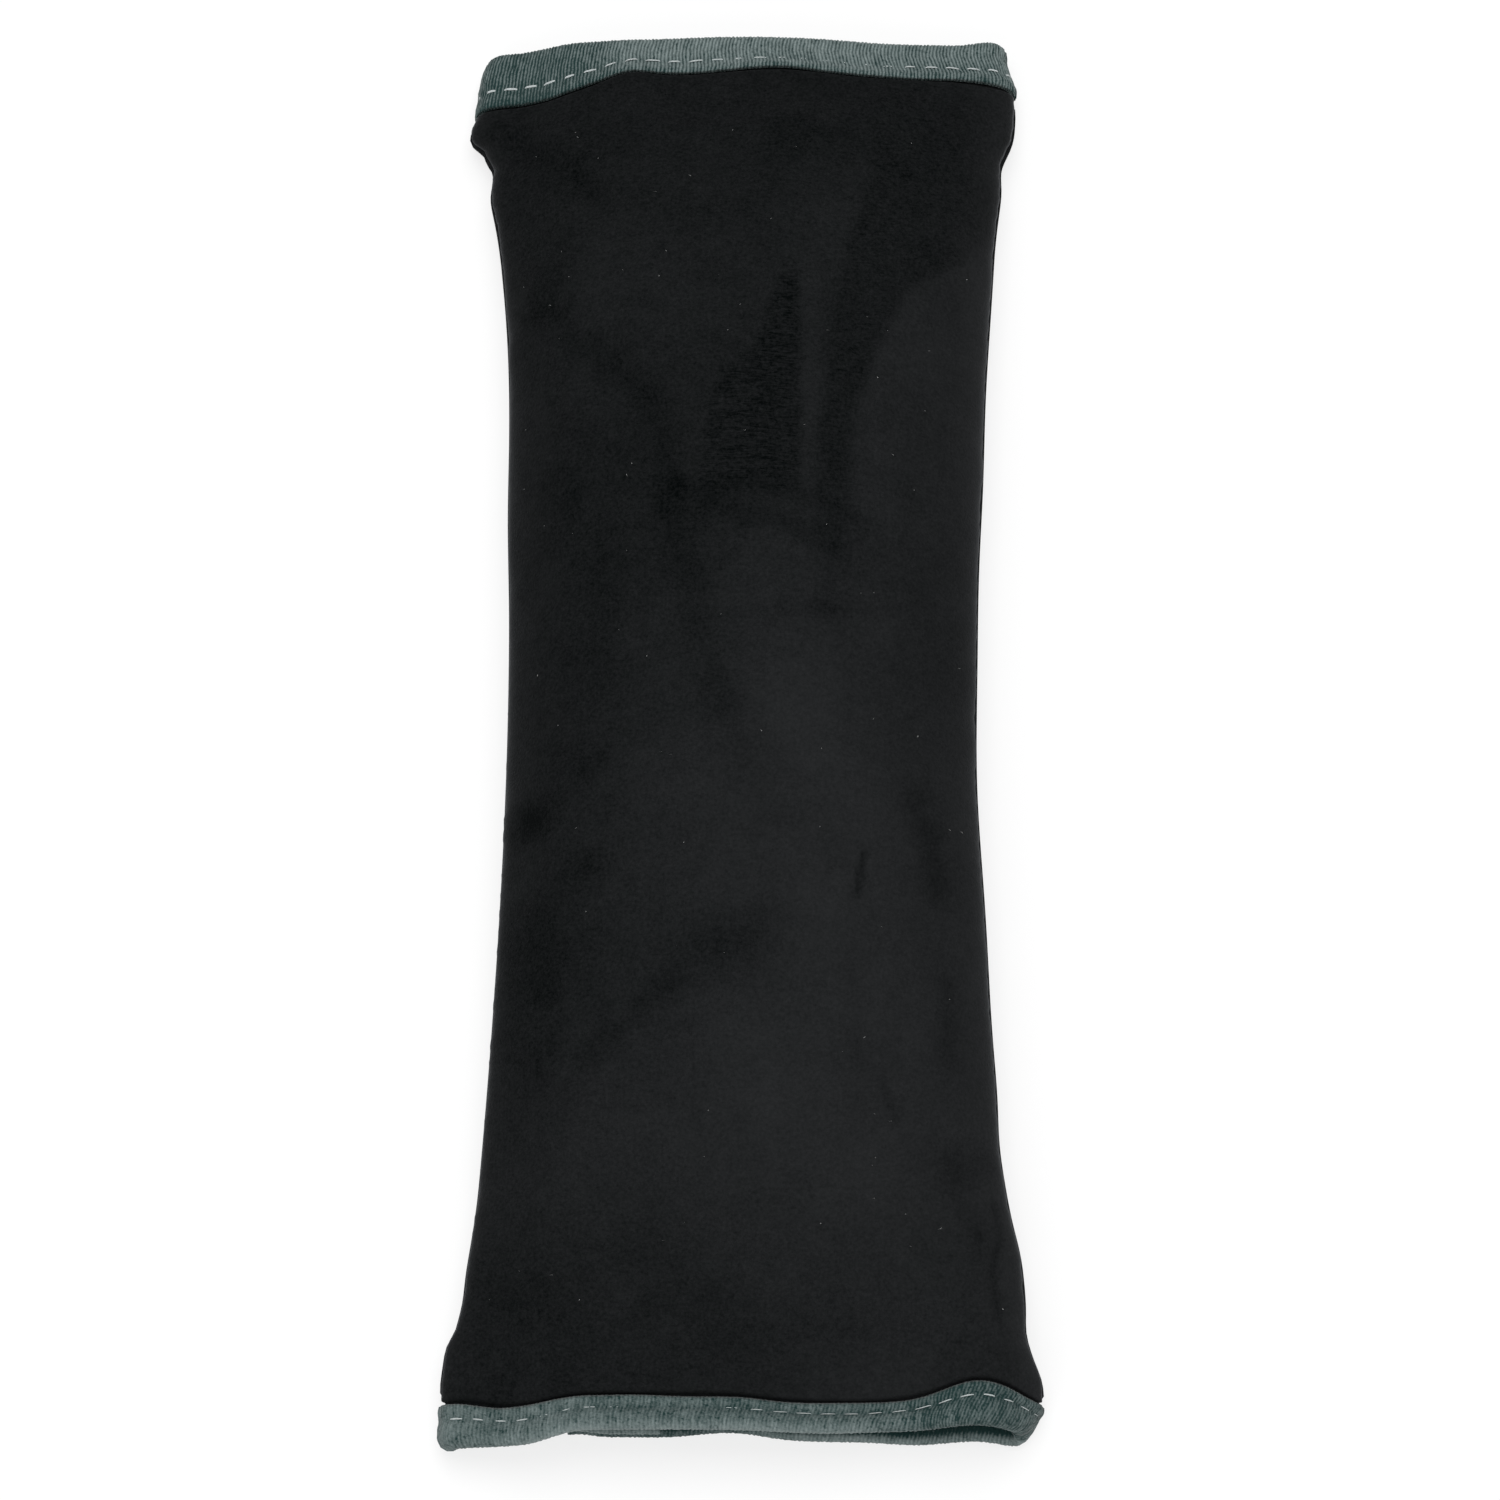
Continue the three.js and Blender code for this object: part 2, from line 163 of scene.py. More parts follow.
# How far the fold of the tape and its inner edge lie along the pad from a straight mouth, across x.
FAR_FOLD = (0.0, ((-0.7, -20, 13), (-0.8, 30, 13)), ((1.3, 42, 51), (-1.3, -20, -40)))
FAR_TAPE_EDGE = (-0.9, ((0.8, -23, 5), (0.8, 8, 10), (-0.4, -11, 6)), ((-1.4, 41, 52), (-4.1, -20, -40)))
NEAR_FOLD = (0.8, ((0.8, ARCH_X, ARCH_WIDTH), (-0.6, 14, 11)), ((-2.3, -28, -40),))
NEAR_TAPE_EDGE = (
    -2.1,
    ((2.1, ARCH_X, ARCH_WIDTH), (-1.1, 21, 12), (-0.5, 7, 7)),
    ((-1.1, 47, 55), (1.1, -42, -52)),
)


def mouth_run(x, y):
    """How far the layers near a mouth lie along the pad from their place on a straight-edged one: the
    tape's inner edge bows and its corners dip, and the fold follows by less."""
    inner_share = ease(np.abs(y), TAPE_EDGE_START, TAPE_EDGE) * ease(HALF_LENGTH - np.abs(y), 0, TAPE_REACH)
    fold_share = ease(np.abs(y), FOLD_START, HALF_LENGTH)
    far = waves(x, *FAR_FOLD) * fold_share + waves(x, *FAR_TAPE_EDGE) * inner_share
    near = waves(x, *NEAR_FOLD) * fold_share + waves(x, *NEAR_TAPE_EDGE) * inner_share
    return np.where(y > 0, far, near)


def settled(points):
    """Points of the wrapped layers where they come to rest: the mouths wander, and the left side sinks
    onto the table where no lower panel lies below it."""
    x, y, z = np.moveaxis(points, -1, 0)
    return np.stack([x, y + mouth_run(x, y), z - SINK * ease(-x, SINK_START, SINK_END)], axis=-1)


CROWN_POWER = 0.725
RISE_POWER = 0.3


class Section:
    """The cross-section at y: round ends at both sides, and what the crown adds between them."""

    def __init__(self, y):
        full = fullness(y)
        self.y = y
        self.right_r = MOUTH_RIGHT_RADIUS + (SIDE_RADIUS - MOUTH_RIGHT_RADIUS) * full
        self.left_r = MOUTH_LEFT_RADIUS + (SIDE_RADIUS - FLAP_RISE / 2 - MOUTH_LEFT_RADIUS) * full
        height = MOUTH_HEIGHT + (THICKNESS - MOUTH_HEIGHT) * full
        self.crown = height - self.right_r - self.left_r - FLAP_RISE / 2
        self.right_x = half_width(y, 1) - self.right_r
        self.left_x = self.left_r - half_width(y, -1)
        self.right_z = self.right_r
        self.left_z = self.left_r + FLAP_RISE

    def spine(self, a):
        """The crown's spine, from the right round end (a = 0) to the left one (a = 1): a straight line
        plus powers of a parabola that is 1 in the middle."""
        x = self.right_x + (self.left_x - self.right_x) * a
        arch = np.clip(4 * a * (1 - a), 0, 1)
        z = self.right_z + (self.left_z - self.right_z) * a
        return x, z + self.crown * arch**CROWN_POWER + arch**RISE_POWER * upper_rise(x, self.y)

    def crown_normal(self, a):
        """The direction square to the spine, from its slope between two near points."""
        x0, z0 = self.spine(a - 0.0015)
        x1, z1 = self.spine(a + 0.0015)
        run = np.hypot(x1 - x0, z1 - z0)
        return (z1 - z0) / run, (x0 - x1) / run


# The crown stops just short of both round ends, and the edge under the near mouth is tucked in by this.
CROWN_MARGIN = 0.004
NEAR_TUCK = (
    0.0,
    ((1.5, -2, 9), (0.4, 14, 7)),
    ((0.7, 0, -24), (1.2, -24, -35), (-0.9, 20, 34), (-0.7, 42, 50)),
)


def wrap(c, y, depth):
    """A point of the layers, as an array of x, y and z: a round end or the crown's spine, plus the
    distance to the layer along the direction that faces out there. c runs round the sleeve: 0 to 1 along
    the lower panel's flat, to 2 up its side to the right seam, to 3 and 4 over the crown, to 5 at the
    left seam, to 6 round the flap's side and to 7 along the flap. depth is counted in from the outer
    surface."""
    c, y, depth = np.broadcast_arrays(np.asarray(c, float), np.asarray(y, float), np.asarray(depth, float))
    s = Section(y)
    a = np.clip(CROWN_MARGIN + (1 - 2 * CROWN_MARGIN) * (c - 3), CROWN_MARGIN, 1 - CROWN_MARGIN)
    spine_x, spine_z = s.spine(a)
    nx, nz = s.crown_normal(a)
    first = np.arctan2(nz, nx)
    turn = np.select(
        [c < 1, c < 2, c < 3, c < 4, c < 5, c < 6],
        [
            -np.pi / 2,
            -np.pi / 2 * (2 - c),
            first * (c - 2),
            first,
            first + (np.pi - first) * (c - 4),
            np.pi + np.pi / 2 * (c - 5),
        ],
        1.5 * np.pi,
    )
    on_crown = s.right_r + (s.left_r - s.right_r) * a
    radius = np.where(c < 3, s.right_r, np.where(c >= 4, s.left_r, on_crown))
    x = np.where(c < 2, s.right_x, np.where(c >= 5, s.left_x, spine_x))
    z = np.where(c < 2, s.right_z, np.where(c >= 5, s.left_z, spine_z))
    x = np.where(c < 1, LOWER_EDGE_X + (s.right_x - LOWER_EDGE_X) * c, x)
    x = np.where(c >= 6, s.left_x + (FLAP_EDGE_X - s.left_x) * (c - 6), x)
    reach = radius - depth
    points = settled(np.stack([x + reach * np.cos(turn), y, z + reach * np.sin(turn)], axis=-1))
    underside = ease(-y, TUCK_START, HALF_LENGTH) * (1 - ease(c, 1.3, 2.1) * (1 - ease(c, 5.1, 5.8)))
    points[..., 1] += waves(x, *NEAR_TUCK) * underside
    points[..., 0] += ease(x, 42, 50) * underside
    return points


def even_steps(low, high, y, step):
    """Values of c from low to high whose points at y lie about one step apart, found by walking along
    the outer line and dividing its length. Returns them and how far along the line they lie."""
    fine = np.linspace(low, high, 6000)
    line = wrap(fine, y, 0.0)
    run = np.concatenate([[0], np.cumsum(np.linalg.norm(np.diff(line, axis=0), axis=1))])
    count = int(round(run[-1] / step))
    return np.interp(np.linspace(0, run[-1], count + 1), run, fine), np.linspace(0, run[-1], count + 1)


def lengthwise(end, step):
    """Places along the pad, about one step apart, from one end to the other."""
    return np.linspace(-end, end, int(round(2 * end / step)) + 1)


def tape_dip(y, run=2.4, end=0.1):
    """How far the cloth sinks to pass under the binding: an S over a short run before it."""
    return (TAPE + GAP) * ease(np.abs(y), TAPE_EDGE - run, TAPE_EDGE - end)


def stroke(x, y, ends, width):
    """A soft line: the bell of the distance to the straight piece between two points."""
    (x0, y0), (x1, y1) = ends
    along = np.clip(((x - x0) * (x1 - x0) + (y - y0) * (y1 - y0)) / ((x1 - x0) ** 2 + (y1 - y0) ** 2), 0, 1)
    away = np.hypot(x - x0 - along * (x1 - x0), y - y0 - along * (y1 - y0))
    return np.exp(-((away / width) ** 2))


def trail(x, y, points, width):
    """A soft bent line: the strongest of the strokes from each point to the next."""
    return np.max([stroke(x, y, ends, width) for ends in zip(points[:-1], points[1:])], axis=0)


def ripple(x, y, size, seed):
    """Slow unevenness, between -1 and 1: the mean of seven waves of about one size in seeded directions."""
    rng = np.random.default_rng(seed)
    headings, stretches, phases = rng.uniform(0, np.pi, 7), rng.uniform(0.7, 1.5, 7), rng.uniform(0, 7, 7)
    total = 0
    for heading, stretch, phase in zip(headings, stretches, phases):
        wave = (x * np.cos(heading) + y * np.sin(heading)) * 2 * np.pi / (size * stretch)
        total = total + np.sin(wave + phase)
    return total / 7


def lines(x, y, marks):
    """The sum of soft bent lines, each given as its strength, its width and its points."""
    return sum(strength * trail(x, y, points, width) for strength, width, points in marks)


def spots(x, y, marks):
    """The sum of soft spots, bells across times bells along, each given as its strength, its place, its
    width across and its width along."""
    return sum(
        strength * hill(x, at_x, across) * hill(y, at_y, along)
        for strength, at_x, at_y, across, along in marks
    )


# Creases: most show both as relief and as painted shade in the colour; LONG_SHADE is painted shade alone,
# with no relief.
CORNER_CREASE = ((-46, 117), (-37, 108.5), (-29, 101))
LONG_CREASE = ((-38, 77), (-33, 69.5), (-26, 63), (-19.5, 54.5), (-15.5, 46.5), (-13.5, 32))
LONG_SHADE = ((-13.5, 32), (-9.8, 16), (-7, 3), (-3.5, -8), (1.5, -19), (4, -32), (5, -45))
LEAF_CREASE = ((-28, -73), (-20, -66), (-13, -60))
PINCH = ((22.3, -36.3), (21.1, -43.4))
LOW_LINE = ((25.3, -77.8), (27.8, -84.6))
SEAM_FISSURE = ((46.1, -98), (47.2, -104), (45.4, -110), (46.2, -119))

# How deep the cloth is drawn in along creases and at dimples. The fold beside the corner crease stands up.
SUNK_LINES = (
    (0.8, 2.2, CORNER_CREASE),
    (-0.5, 3.0, ((-39, 117), (-24, 104))),
    (0.6, 3.0, LONG_CREASE),
    (0.3, 1.1, ((-8, 37), (8, 36), (22, 30.5))),
    (0.25, 1.0, ((2, 33), (24, 27))),
    (0.55, 0.8, PINCH),
    (0.3, 1.2, LOW_LINE),
    (0.6, 6, ((-37, -50), (-37, -62))),
    (0.6, 4, ((33, -26), (37, -42))),
    (0.4, 5, LEAF_CREASE),
    (0.4, 0.8, SEAM_FISSURE),
)
DIMPLES = ((0.7, -39.7, -27.4, 5, 5), (0.6, 39, -92, 4, 4), (0.4, -3, -122, 16, 8))


def upper_relief(x, y):
    """Height of the upper panel over its plain form, in millimetres: slow unevenness, less the creases
    and dimples, plus a sine along x for the puckers that the binding's seam draws in."""
    relief = 0.35 * ripple(x, y, 34, 3) + 0.12 * ripple(x, y, 12, 8) + 0.03 * ripple(x, y, 3.5, 9)
    relief = relief - lines(x, y, SUNK_LINES) - spots(x, y, DIMPLES)
    pucker = np.sin(x / 2.1 + 2 * ripple(x, 0 * y, 40, 5)) * ease(np.abs(y), 108, 128)
    return relief + 0.16 * pucker


SEAM_ROUND = 1.3
SEAM_STITCH_PITCH = 3.6


def seam_roll(away):
    """Depth of a panel that turns in at a seam: a quarter round over the last millimetre or so."""
    near = np.clip(1 - away / SEAM_ROUND, 0, 1)
    return SEAM_ROUND * (1 - np.sqrt(1 - near**2 * 0.999))


def mesh_from_faces(name, points, quads, extra=()):
    """A mesh object in metres from points in millimetres, quads and a few faces with more corners. A
    closed form whose signed volume is negative is turned, so that its faces point outwards."""
    loose = [np.asarray(face) for face in extra]
    corners = points[quads]
    volume = 0
    for i, j, k in ((0, 1, 2), (0, 2, 3)):
        volume += np.einsum("ij,ij->", corners[:, i], np.cross(corners[:, j], corners[:, k]))
    if volume < 0:
        quads = quads[:, ::-1]
        loose = [face[::-1] for face in loose]
    mesh = bpy.data.meshes.new(name)
    mesh.vertices.add(len(points))
    mesh.vertices.foreach_set("co", (points * 0.001).astype(np.float32).ravel())
    corner_list = np.concatenate([quads.ravel(), *loose]).astype(np.int32)
    sizes = np.concatenate([np.full(len(quads), 4), [len(face) for face in loose]]).astype(np.int32)
    mesh.loops.add(len(corner_list))
    mesh.loops.foreach_set("vertex_index", corner_list)
    mesh.polygons.add(len(sizes))
    mesh.polygons.foreach_set("loop_start", np.concatenate([[0], np.cumsum(sizes)[:-1]]).astype(np.int32))
    mesh.polygons.foreach_set("use_smooth", np.ones(len(sizes), bool))
    mesh.update(calc_edges=True)
    mesh.validate()
    piece = bpy.data.objects.new(name, mesh)
    bpy.context.collection.objects.link(piece)
    return piece


def ring_quads(rings, sides):
    """Quads of a tube of points, ring by ring, each ring closed on itself."""
    here = np.arange(rings - 1)[:, None] * sides
    side = np.arange(sides)[None, :]
    following = (side + 1) % sides
    corners = [here + side, here + following, here + sides + following, here + sides + side]
    return np.stack(corners, -1).reshape(-1, 4)


def layer(name, outer, inner):
    """A closed sheet of cloth: an outer and an inner grid of points, joined round their rims."""
    rows, columns = outer.shape[:2]
    around = np.concatenate([outer, inner[:, ::-1]], axis=1)
    quads = ring_quads(rows, 2 * columns)
    ends = []
    for row in (0, rows - 1):
        base = row * 2 * columns
        j = np.arange(columns - 1)
        end = np.stack([base + j, base + 2 * columns - 1 - j, base + 2 * columns - 2 - j, base + j + 1], -1)
        ends.append(end if row == 0 else end[:, ::-1])
    return mesh_from_faces(name, around.reshape(-1, 3), np.concatenate([quads, *ends]))


def give_attribute(piece, name, values):
    """Stores one number per point on a piece, for its material."""
    kept = piece.data.attributes.new(name, "FLOAT", "POINT")
    kept.data.foreach_set("value", np.asarray(values, np.float32).ravel())


class Value:
    """A socket of a material's nodes. Arithmetic on it adds Math nodes."""

    def __init__(self, finish, socket):
        self.finish, self.socket = finish, socket

    def _math(self, operation, first, second):
        return self.finish.node("ShaderNodeMath", {"operation": operation}, {0: first, 1: second})

    def __add__(self, other):
        return self._math("ADD", self, other)

    def __sub__(self, other):
        return self._math("SUBTRACT", self, other)

    def __rsub__(self, other):
        return self._math("SUBTRACT", other, self)

    def __mul__(self, other):
        return self._math("MULTIPLY", self, other)

    __radd__ = __add__
    __rmul__ = __mul__


class Finish:
    """A material that is built up with Python expressions on its Principled shader."""

    def __init__(self, name, **fixed):
        self.material = bpy.data.materials.new(name)
        self.material.use_nodes = True
        self.tree = self.material.node_tree
        self.shader = self.tree.nodes["Principled BSDF"]
        for socket, value in fixed.items():
            self.shader.inputs[socket.replace("_", " ")].default_value = value

    def node(self, kind, settings=None, values=None, output=0):
        """Any node: its settings first, then the values or links of its sockets."""
        made = self.tree.nodes.new(kind)
        for key, value in (settings or {}).items():
            setattr(made, key, value)
        for key, value in (values or {}).items():
            if isinstance(value, Value):
                self.tree.links.new(value.socket, made.inputs[key])
            else:
                made.inputs[key].default_value = value
        return Value(self, made.outputs[output])

    def place(self):
        """The point's place in the part's frame, in metres."""
        return self.node("ShaderNodeTexCoord", output="Object")

    def stretched(self, scale):
        """The point's place with each axis multiplied, so that a pattern is finer along some of them."""
        return self.node("ShaderNodeMapping", values={"Vector": self.place(), "Scale": scale})

    def noise(self, size_mm, detail=2.0, vector=None, rough=0.5, distortion=0.0):
        """Noise whose grains are about size_mm across, between 0 and 1."""
        values = {"Vector": vector or self.place(), "Scale": 1000 / size_mm, "Detail": detail}
        values |= {"Roughness": rough, "Distortion": distortion}
        return self.node("ShaderNodeTexNoise", values=values)

    def attribute(self, name):
        """One number per point that the piece carries."""
        return self.node("ShaderNodeAttribute", {"attribute_name": name}, output="Fac")

    def ramp(self, value, low, high):
        """A straight step of a value, from 0 at low to 1 at high."""
        return self.node("ShaderNodeMapRange", None, {"Value": value, "From Min": low, "From Max": high})

    def mixed(self, factor, first, second):
        """A colour between two others."""
        return self.node("ShaderNodeMix", {"data_type": "RGBA"}, {0: factor, 6: first, 7: second}, output=2)

    def bumped(self, height, strength, distance_mm):
        """A normal that follows a height."""
        values = {"Height": height, "Strength": strength, "Distance": distance_mm * 0.001}
        return self.node("ShaderNodeBump", values=values)

    def feed(self, socket, value):
        """Links a value to one of the shader's sockets."""
        self.tree.links.new(value.socket, self.shader.inputs[socket])


def rgb(red, green, blue):
    """A colour given as it looks on a screen, 0 to 255, as the linear numbers that a shader takes."""
    shown = np.array([red, green, blue]) / 255
    linear = np.where(shown <= 0.04045, shown / 12.92, ((shown + 0.055) / 1.055) ** 2.4)
    return (*linear.tolist(), 1.0)


def velour_finish(name, dark, light):
    """Microsuede: a short dense pile, mottled where it lies this way or that, and finely speckled. Where
    it was brushed back, short wavy streaks run across the pad."""
    finish = Finish(name, Roughness=0.97, Specular_IOR_Level=0.03, Sheen_Weight=0.14, Sheen_Roughness=0.28)
    finish.shader.inputs["Sheen Tint"].default_value = (0.75, 0.78, 0.82, 1)
    nap_and_painted_light, brushed = finish.attribute("nap_and_painted_light"), finish.attribute("brushed")
    streaks = finish.noise(1.0, 3.0, finish.stretched((0.3, 1.7, 1.0)), 0.5, 1.5)
    patches = finish.noise(7.0, 4.0, rough=0.65)
    tufty = finish.noise(2.4, 3.0, rough=0.7)
    grain = finish.noise(0.62, 3.0, rough=0.75)
    # The nap attribute holds the pile's own marks and, on the upper panel, painted shade and painted sheen.
    tone = nap_and_painted_light + (streaks - 0.5) * (brushed * 1.5 + 0.25) + (patches - 0.5) * 0.5 + (tufty - 0.5) * 0.5
    tone = tone + (grain - 0.5) * 1.7
    finish.feed("Base Color", finish.mixed(finish.ramp(tone, -0.35, 1.35), dark, light))
    tufts = finish.noise(0.42, 2.0, rough=0.6)
    finish.feed("Normal", finish.bumped(tufts + patches * 0.8 + streaks * brushed, 0.5, 0.2))
    return finish.material


velour = velour_finish("black_velour", rgb(2, 4, 4), rgb(36, 37, 38))


# Lighter and darker marks in the upper panel's colour, each with how much lighter or darker it looks. The
# dark lines and spots on the creases, the pinch, the low line, the seam fissure and in the dimples are
# painted shade; the others are lighter or darker places in the colour.
LIGHT_SPOTS = (
    (0.1, 14, 92, 10, 15), (0.1, 3, 17, 6, 8), (0.1, 12, -5, 8, 12), (0.13, -20, -32, 11, 26),
    (0.14, -31, 77, 8, 9),
)
# DARK_LINES: painted shade along the creases that the relief sinks in, and darker lines in the colour
# elsewhere.
DARK_LINES = (
    (0.16, 3.0, CORNER_CREASE),
    (0.2, 3.4, LONG_CREASE),
    (0.12, 3, ((-36, 90), (-38, 77))),
    (0.24, 4.0, LONG_SHADE[:4]),
    (0.13, 5.0, LONG_SHADE[3:]),
    (0.2, 2.2, ((-12, 35.5), (8, 34.5), (22, 29))),
    (0.26, 2.6, ((-6, 31), (3, 28.5), (13, 25.5))),
    (0.22, 2.6, ((16.4, 27), (16, 11))),
    (0.12, 1.6, ((-3, 9), (23, 11))),
    (0.12, 6, ((-26, 22), (-26, -2))),
    (0.24, 4.5, ((-39, -49), (-37, -60))),
    (0.24, 2.6, LEAF_CREASE),
    (0.38, 2.8, ((34, -30), (36.3, -41))),
    (0.26, 2.0, ((38, -57.7), (37.5, -72.7))),
    (0.16, 2.5, ((19, -55), (22, -75))),
    (0.12, 1.6, ((27, -60), (27, -76))),
    (0.3, 1.2, LOW_LINE),
    (0.45, 0.8, SEAM_FISSURE),
    (0.6, 0.75, PINCH),
)
# DARK_SPOTS: painted shade in the dimples, and darker spots in the colour elsewhere.
DARK_SPOTS = (
    (0.15, -21, 43, 5, 6), (0.26, 19, 23.5, 4.5, 4), (0.2, 31.5, 35, 3, 5), (0.1, 31, -8, 12, 16),
    (0.16, 30.5, -1, 4, 5), (0.5, -39.7, -27.4, 4, 4), (0.26, -28, -38, 4, 4), (0.18, -28, -18.6, 3.5, 3.5),
    (0.24, -38, -72.7, 4, 5), (0.14, -33, 34, 6, 9), (0.28, 32, -24, 3.5, 3.5), (0.36, 39, -92, 4, 4),
    (0.3, 44.4, -90, 2.5, 3), (0.25, 43, -105, 2.6, 4), (0.14, 8, -122, 26, 7), (0.18, -43, -86, 7, 12),
    (0.2, 10, 112, 8, 6),
)


def brushed_back(x, y):
    """Where a hand brushed the pile back: a wedge with a crooked left edge and a bent band, each a smooth
    step up and down across the pad times one along it, with a narrow light strip between the two."""
    left_edge = np.interp(y, [32, 46, 56, 66, 81], [-8.5, -7.0, -5.3, 3.1, 7.0]) + 0.5 * np.sin(y * 1.9)
    wedge = ease(x, left_edge - 1.3, left_edge + 1.3) * (1 - ease(x, 9.8, 11.8))
    wedge *= ease(y, 30, 40) * (1 - ease(y, 78, 84))
    band_left = np.interp(y, [38, 65, 79, 94, 111], [14.0, 16.5, 18.6, 21.5, 26.3])
    band_right = np.interp(y, [35, 47, 64, 80, 87, 98], [19.7, 20.5, 25.1, 32.5, 42.3, 50.0])
    band = ease(x, band_left - 1.5, band_left + 1.5) * (1 - ease(x, band_right - 2.0, band_right + 2.0))
    band *= ease(y, 26, 38) * (1 - 0.5 * ease(y, 104, 122)) * (1 - 0.4 * ease(x, 34, 46))
    strip = hill(x, 12.4 + 0.02 * (y - 44), 1.8) * ease(y, 36, 48) * (1 - ease(y, 76, 88))
    return wedge, band, strip


def pile_and_painted_shade_tone(x, y):
    """How light the upper panel's colour is: 0 dark and 1 light. Smooth steps paint shade on the far
    slope and along the left side, and light in the near right quarter. Then come the places where the pile
    was brushed back, and the strokes and spots, with painted shade along the creases and in the dimples.
    Returns the tone, and how much the pile is brushed back."""
    # Painted shade and light: smooth steps for how each part of the crown faces the lamps.
    tone = 0.12 + 0.7 * ease(x, -44, 14) * ease(-y, -70, 30) - 0.22 * ease(x, 24, 44) * ease(-y, -40, 10)
    tone += 0.16 * hill(y, 74, 30) * ease(x, -44, -26)
    tone += 0.28 * ease(x, 16, 26) * ease(y, 14, 46) * (1 - ease(y, 84, 104))
    tone += 0.04 * ease(-y, 55, 75) - 0.29 * ease(-y, 90, 116) * (1 - 0.6 * ease(x, 5, 45))
    tone += 0.32 * ease(-y, 62, 86) * (1 - ease(x, -34, 0)) + spots(x, y, LIGHT_SPOTS)
    wedge, band, strip = brushed_back(x, y)
    tone = tone * (1 - 0.9 * wedge) * (1 - 0.8 * band) + 0.2 * strip
    leaf = 0.42 * hill(x, -4, 11) * hill(y - 0.3 * x, -53, 6.5)
    # Dark lines and spots: painted shade along the creases and in the dimples, and other darker places.
    tone -= lines(x, y, DARK_LINES) + spots(x, y, DARK_SPOTS) + leaf
    return tone + 0.1 * ripple(x, y, 30, 12), 0.9 * wedge + 0.35 * band


# ys runs along the pad and cs round it. Rows lie closer where the cloth dips under the tape.
ys = lengthwise(CLOTH_END, 1.0)
rows_at_tape = np.arange(TAPE_EDGE - 1.65, TAPE_EDGE + 0.6, 0.25)
ys = ys[np.abs(np.abs(ys) - TAPE_EDGE + 0.5) > 1.4]
ys = np.sort(np.concatenate([ys, rows_at_tape, -rows_at_tape]))[:, None]
cs, _ = even_steps(2.0, 5.0, 0.0, 0.95)
cs = cs[None, :]
top = wrap(cs, ys, 0.0)
right_way = np.linalg.norm(top - top[:, :1], axis=-1)
left_way = np.linalg.norm(top - top[:, -1:], axis=-1)
relief = upper_relief(top[..., 0], top[..., 1])
relief = relief * ease(np.minimum(right_way, left_way), 1.5, 9) * (1 - 0.85 * ease(np.abs(ys), 124, 130))
at_seams = hill(right_way, 0, 2.2) + hill(left_way, 0, 2.2)
seam_stitch = 0.1 * np.cos(2 * np.pi * ys / SEAM_STITCH_PITCH) * at_seams
near_seam = hill(right_way, 0, 5) + hill(left_way, 0, 5)
seam_pull = 0.22 * ripple(ys + 40 * np.sign(top[..., 0]), 0 * ys, 9, 41) + 0.14 * ripple(ys, ys, 4, 43)
depth = tape_dip(ys, 0.45, -0.05) + seam_roll(right_way) + seam_roll(left_way) + seam_stitch - relief
depth = depth + near_seam * seam_pull * (1 - ease(np.abs(ys), 126, 130))
upper = layer("upper_velour", wrap(cs, ys, depth), wrap(cs, ys, depth + VELOUR))
seen_x = np.concatenate([top[..., 0], top[:, ::-1, 0]], axis=1)
seen_y = np.concatenate([top[..., 1], top[:, ::-1, 1]], axis=1)
tone, brushed = pile_and_painted_shade_tone(seen_x, seen_y)
# Painted sheen: the colour is made lighter along both side seams, where the pile turns over and catches the
# light at a grazing angle.
painted_seam_sheen = 0.65 * hill(right_way, 0, 8) + 0.45 * hill(left_way, 0, 5)
tone = tone + np.concatenate([painted_seam_sheen, painted_seam_sheen[:, ::-1]], axis=1)
give_attribute(upper, "nap_and_painted_light", tone)
give_attribute(upper, "brushed", brushed)
upper.data.materials.append(velour)
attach(upper, "root")
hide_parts("upper_panel")


# The lower velour panel: the face that lies on the table, and next to the wearer. The same microsuede,
# with its free edge turned in and sewn along the closing slit, and two rows that hold the hook strip.

STRIP_ROWS = (3.4, 13.6)
SEWN_HALF = 119.0
FAR_FROM_EDGE = 50.0

cs, _ = even_steps(0.0, 2.0, 0.0, 1.3)
cs = cs[None, :]
ys = lengthwise(CLOTH_END, 1.5)[:, None]
base = wrap(cs, ys, 0.0)
seam_way = np.linalg.norm(base - base[:, -1:], axis=-1)
edge_way = base[..., 0] - LOWER_EDGE_X
edge_way = np.where(cs < 1, edge_way, FAR_FROM_EDGE)
rows_sunk = 0.18 * sum(hill(edge_way, row, 0.7) for row in STRIP_ROWS) * (np.abs(ys) < SEWN_HALF)
depth = tape_dip(ys) + seam_roll(seam_way) + 0.45 * seam_roll(edge_way) + rows_sunk
lower = layer("lower_velour", wrap(cs, ys, depth), wrap(cs, ys, depth + VELOUR))
seen = np.concatenate([base, base[:, ::-1]], axis=1)
give_attribute(lower, "nap_and_painted_light", 0.5 + 0.3 * ripple(seen[..., 0], seen[..., 1], 40, 21))
lower.data.materials.append(velour)
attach(lower, "root")
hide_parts("lower_panel")


# The closing flap: the narrow strip of velour that runs from the left seam under the pad, over which
# the lower panel laps. It carries the loop strip.

